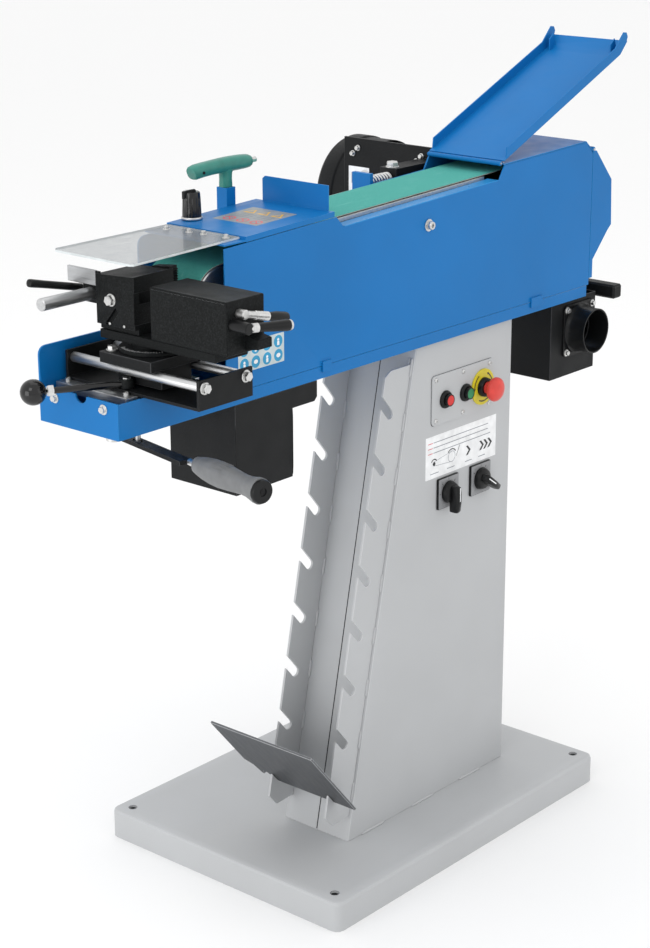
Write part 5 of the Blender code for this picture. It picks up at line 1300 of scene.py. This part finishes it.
def jaws():
    # Its rounded edges take the lighter black edge paint, standing for the highlights along them: painted
    # highlight.
    rounded_node("fixed_jaw", 0.0008, 2, (CAST_BLACK, BLACK_EDGE_HIGHLIGHT))
    low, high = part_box("moving_jaw")
    near = low.y + 0.022
    body = block("body", (low.x, high.x), (near, high.y), (low.z, high.z), CAST_BLACK, 0.0022, 3)
    groove = mm((7, 1031), (-17, 1005), (7, 979), base=(high.y, 0))
    cut(body, prism("groove", groove, "X", low.x + 0.013, high.x + 0.01, CAST_BLACK))
    lug = [(near + 0.001, 0.9745), (low.y, 0.978), (low.y, 0.991), (near + 0.001, 0.9955)]
    lug_piece = prism("lug", lug, "X", -0.572, -0.545, CAST_BLACK, 0.001)
    finished("moving_jaw", [body, lug_piece])
    # Thin bright steel strip on the front top chamfer only, where the edge catches the light: painted highlight.
    pale_marks = mm((-0.05, -2.9), (2.9, 0.05), (3.1, -0.2), (0.2, -3.1), base=(low.x, high.z))
    edge = prism("edge_highlight_strip", pale_marks, "Y", near + 0.004, high.y - 0.004, EDGE_HIGHLIGHT_STEEL)
    attach(edge, "moving_jaw", "black_paint")
    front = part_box("fixed_jaw")[0].x
    parts = hex_bolt((front, -0.0742, 1.0149), -X_AXIS, 0.013, 0.006, 0.0088)
    for y in (-0.07, -0.0977):
        parts += dome_screw((front, y, 0.9877 - 0.006), -X_AXIS, 0.0022, 0.0014)
    attach(gather("fixed_jaw_bolts", parts), "vise", "bright_steel")
    plate = block("front_plate", (front - 0.0003, front + 0.01), (-0.1178, -0.0975), (0.9835, 1.0320),
                  CAST_BLACK, 0.0003, 1)
    attach(plate, "vise", "black_paint")
    guard = block("guard_face", (-0.6072, -0.603), (-0.0446, 0.0104), (1.0302, 1.0509), PAINT_STEEL, 0.0003,
                  1)
    attach(guard, "vise", "black_paint")
    rod_low, rod_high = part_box("stop_rod")
    centre = (rod_low + rod_high) / 2
    length = rod_high.x - rod_low.x
    shape = mm((0, 0), (7.6, 0), (8.8, 1.2)) + mm((8.8, -1), (8, 0), (0, 0), base=(0, length))
    rod = turned("stop_rod_finished", shape, (rod_low.x, centre.y, centre.z), X_AXIS, STEEL_X, 48)
    attach(rod, "stop_rod", "bright_steel", "stop_rod")
    teeth_low = 1.030
    teeth = []
    for number in range(6):
        z = teeth_low + number * 0.0034
        tooth = mm((-111.9, 0), (-115, 1.7), (-111.9, 3.4), base=(0, z))
        teeth.append(prism("tooth", tooth, "X", -0.533, -0.5192, BLACK))
    attach(gather("jaw_teeth", teeth), "vise", "black_paint")


def clamping_lever(node, hub_axis, direction, length, hub_size, offset, root, capped=False):
    """Clamping lever: a hub, a silver root with grooves, a black handle, and perhaps a silver end cap."""
    direction = Vector(direction).normalized()
    hub, hub_paint = PIVOT[node + "_turn"], BLACK_PLASTIC if capped else ZINC
    hub_radius, hub_reach = hub_size
    body = [(0, 0), (hub_radius, 0), (hub_radius, hub_reach - 0.0012), (hub_radius - 0.0012, hub_reach),
            (0, hub_reach)]
    parts = [turned("hub", body, hub, hub_axis, hub_paint, 32)]
    start = hub + hub_axis * offset
    thick = 0.0055 if root else 0.0049
    if root:
        shape = [(0, 0), (0.005, 0), (0.0056, root * 0.45)]
        grooves = 5
        for number in range(grooves):
            along = root * (0.45 + 0.55 * number / grooves)
            step = root * 0.55 / grooves
            shape += [(0.0063, along + 0.15 * step), (0.0063, along + 0.65 * step),
                      (0.0055, along + 0.8 * step)]
        shape += [(0, root + 0.0004)]
        parts.append(turned("root", shape, start, direction, ZINC, 32))
    end = length - 0.003 if capped else length
    swell = 0.0079 if root else 0.0058
    shape = [(0, root), (thick, root), (thick + 0.0005, root + 0.004), (swell * 0.93, length * 0.75)]
    shape += mm((0, -5), (-0.4, -1.2), (-2, 0), base=(swell, end)) + [(0, end)]
    parts.append(turned("handle", shape, start, direction, BLACK_PLASTIC, 32, crease=45))
    if capped:
        cap = mm((0, -0.4), (7.2, -0.4), (7.4, 1.4), base=(0, end))
        cap += mm((6.6, 0), (3, 0), (2.7, -1), (0, -1), base=(0, length))
        parts.append(turned("end_cap", cap, start, direction, ZINC, 28))
    finished(node, parts)


def feed_lever():
    # Its rounded edges take dark steel, lighter than the black, standing for the thin highlight along the arm:
    # painted highlight.
    rounded_node("feed_lever_arm", 0.0005, 2, (BLACK, DARK_STEEL))
    lean = radians(11)
    direction = Vector((-sin(lean), -cos(lean), 0))
    side = Vector((cos(lean), -sin(lean), 0))
    pivot = PIVOT["feed_lever_turn"]
    start = pivot + direction * 0.198 + side * 0.006
    count, flatness, rings = 48, 0.06, []
    shape = mm((0, 9.5), (1.5, 11), (10, 12.8), (22, 15), (40, 16.8), (56, 17.2), (74, 16.2), (92, 14.6),
               (108, 13.4), (120, 13.6), (130, 15.2), (138, 16.8), (144.5, 17))
    for along, radius in shape:
        section = []
        for t in around(count):
            on_groove = abs((t * 180 / pi) % 90 - 45) < 6
            groove = 0.0009 * max(0, 1 - abs(along - 0.058) / 0.045) * on_groove
            flat = 1.0 - flatness * cos(2 * t)
            spoke = cos(t) * side + sin(t) * Z_AXIS
            section.append(start + direction * along + (radius * flat - groove) * spoke)
        rings.append(section)
    parts = [loft("grip", rings, GREY_RUBBER, 50)]
    cap = mm((0, 144), (16.3, 144), (16.5, 147.8), (15.5, 149.8), (6, 149.8), (5.5, 148.2), (0, 148.2))
    parts.append(turned("end_cap", cap, start, direction, BLACK_PLASTIC, 48))
    parts.append(cylinder("end_hole", 0.0032, 0.1483, 0.1487, start, direction, SHADOW_GAP, 24))
    radius = 0.0171
    studs = bmesh.new()
    for row in range(7):
        for column in range(9):
            along = 0.046 + column * 0.004 + (row % 2) * 0.002
            turn = radians(96 + (row - 3) * 12)
            if ((column - 4) / 4.6) ** 2 + ((row - 3) / 3.4) ** 2 > 1:
                continue
            out = cos(turn) * side + sin(turn) * Z_AXIS
            at = start + direction * along + out * (radius - 0.0004) * (1 - flatness * cos(2 * turn))
            tangent = out.cross(direction)
            ring = [at + direction * 0.0017, at + tangent * 0.0013, at - direction * 0.0017,
                    at - tangent * 0.0013]
            base = [studs.verts.new(point) for point in ring]
            peak = studs.verts.new(at + out * 0.0009)
            studs.faces.new(base)
            for i in range(4):
                studs.faces.new((base[i], base[(i + 1) % 4], peak))
    parts.append(to_piece("studs", studs, GREY_RUBBER, crease=20))
    ferrule = mm((0, -17.2), (4.6, -17.2), (4.9, -16.8), (4.9, 0.3), (0, 0.3))
    parts.append(turned("ferrule", ferrule, start, direction, ZINC, 24))
    finished("feed_lever_grip", parts)
    low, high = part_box("lever_pivot")
    at = Vector((pivot.x, pivot.y, 0))
    level = pivot.z
    stud = mm((0, 0), (10.2, 0), (11, 0.8), base=(0, low.z))
    stud += mm((11, -3.4), (6, -3.3), (6, 3.3), (10, 3.3), base=(0, level)) + [(0.01, high.z), (0, high.z)]
    attach(turned("lever_pivot_finished", stud, at, Z_AXIS, ZINC, 32), "machine", "bright_steel",
           "lever_pivot")


def small_nodes():
    # Its rounded edges take the lighter bright steel, standing for the highlights along them: painted highlight.
    rounded_node("belt_platen", 0.0005, 2, (PAINT_STEEL, STEEL_X))
    low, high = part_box("cable_gland")
    centre = node_centre("cable_gland")
    at = Vector((low.x, centre.y, centre.z))
    shape = mm((4.6, 0), (7.9, 0), (7.9, 5.3), (11.6, 5.3), (11.6, 10), (10.8, 10.8), (9, 11.2), (9, 13.5),
               (8.6, 19), (7.2, 19.9), (4.6, 19.9))
    attach(turned("cable_gland_finished", shape, at, X_AXIS, BLACK_PLASTIC, 48), "machine", "black_plastic",
           "cable_gland")
    low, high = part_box("rocker_pin")
    at = on_axis("motor_rocker")
    shape = mm((0, 0), (7.4, 0), (8, 0.6), (8, 2.3), (4.2, 2.5), base=(0, low.y))
    shape += mm((4.2, -5.4), (7, -5.4), (7, -0.6), (6.4, 0), (0, 0), base=(0, high.y))
    attach(turned("rocker_pin_finished", shape, at, Y_AXIS, ZINC, 32), "machine", "bright_steel",
           "rocker_pin")


# ---------------------------------------------------------------- stage, light and camera
def studio():
    reach = (-60.0, 60.0)                      # far enough for the floor's edge to stay out of view
    white = principled("floor_white", (0.95, 0.95, 0.95), 0.7, shine=0.2)[0]
    floor = block("floor", reach, reach, (-0.02, 0), white)
    world = bpy.data.worlds.new("soft_studio")
    world.use_nodes = True
    background = world.node_tree.nodes["Background"]
    background.inputs["Color"].default_value = (1.0, 1.0, 1.0, 1.0)
    background.inputs["Strength"].default_value = 1.0
    bpy.context.scene.world = world
    aim = Vector((0, 0, 0.75))
    for name, at, size, power in (
            ("key", (-3.4, -1.0, 3.4), 1.6, 17.0), ("front", (-4.2, 0.4, 0.9), 2.2, 34.0),
            ("side", (1.0, -4.2, 2.2), 3.0, 10.0), ("top", (0.4, 0.6, 4.2), 3.0, 15.0)):
        light = bpy.data.lights.new(name, "AREA")
        light.shape = "SQUARE"
        light.size = size
        light.energy = power
        lamp = bpy.data.objects.new(name, light)
        lamp.location = at
        lamp.rotation_euler = (Vector(at) - aim).to_track_quat("Z", "Y").to_euler()
        bpy.context.scene.collection.objects.link(lamp)
    bpy.context.scene.view_settings.view_transform = "Standard"


def camera():
    target, distance = Vector((-0.0022, 0.0194, 0.5792)), 3.465
    back = Vector((-0.724, -0.613, 0.316)).normalized()
    data = bpy.data.cameras.new("view")
    data.lens = 80.16
    data.shift_x = -0.0256
    data.shift_y = 0.0118
    view = bpy.data.objects.new("view", data)
    view.location = target + back * distance
    view.rotation_mode = "QUATERNION"
    view.rotation_quaternion = (-back).to_track_quat("-Z", "Y")
    bpy.context.scene.collection.objects.link(view)
    bpy.context.scene.camera = view


stand()
control_panel()
head_covers()
tracking_knob()
hex_key()
belt()
rollers()
drive_wheel()
extraction()
motor()
rocker()
tension_spring()
carriage()
ball_lever()
vise_base()
jaws()
clamping_lever("jaw_lever", -Y_AXIS, (0.97, -0.231, -0.074), 0.07, (0.008, 0.035), 0.0285, 0.018, True)
clamping_lever("lock_lever", -Y_AXIS, (0.972, 0, -0.234), 0.086, (0.0065, 0.0142), 0.0075, 0.05)
clamping_lever("stop_lever", Y_AXIS, (-0.97, 0.05, 0.225), 0.1, (0.0088, 0.0222), 0.0145, 0)
feed_lever()
small_nodes()
studio()
camera()
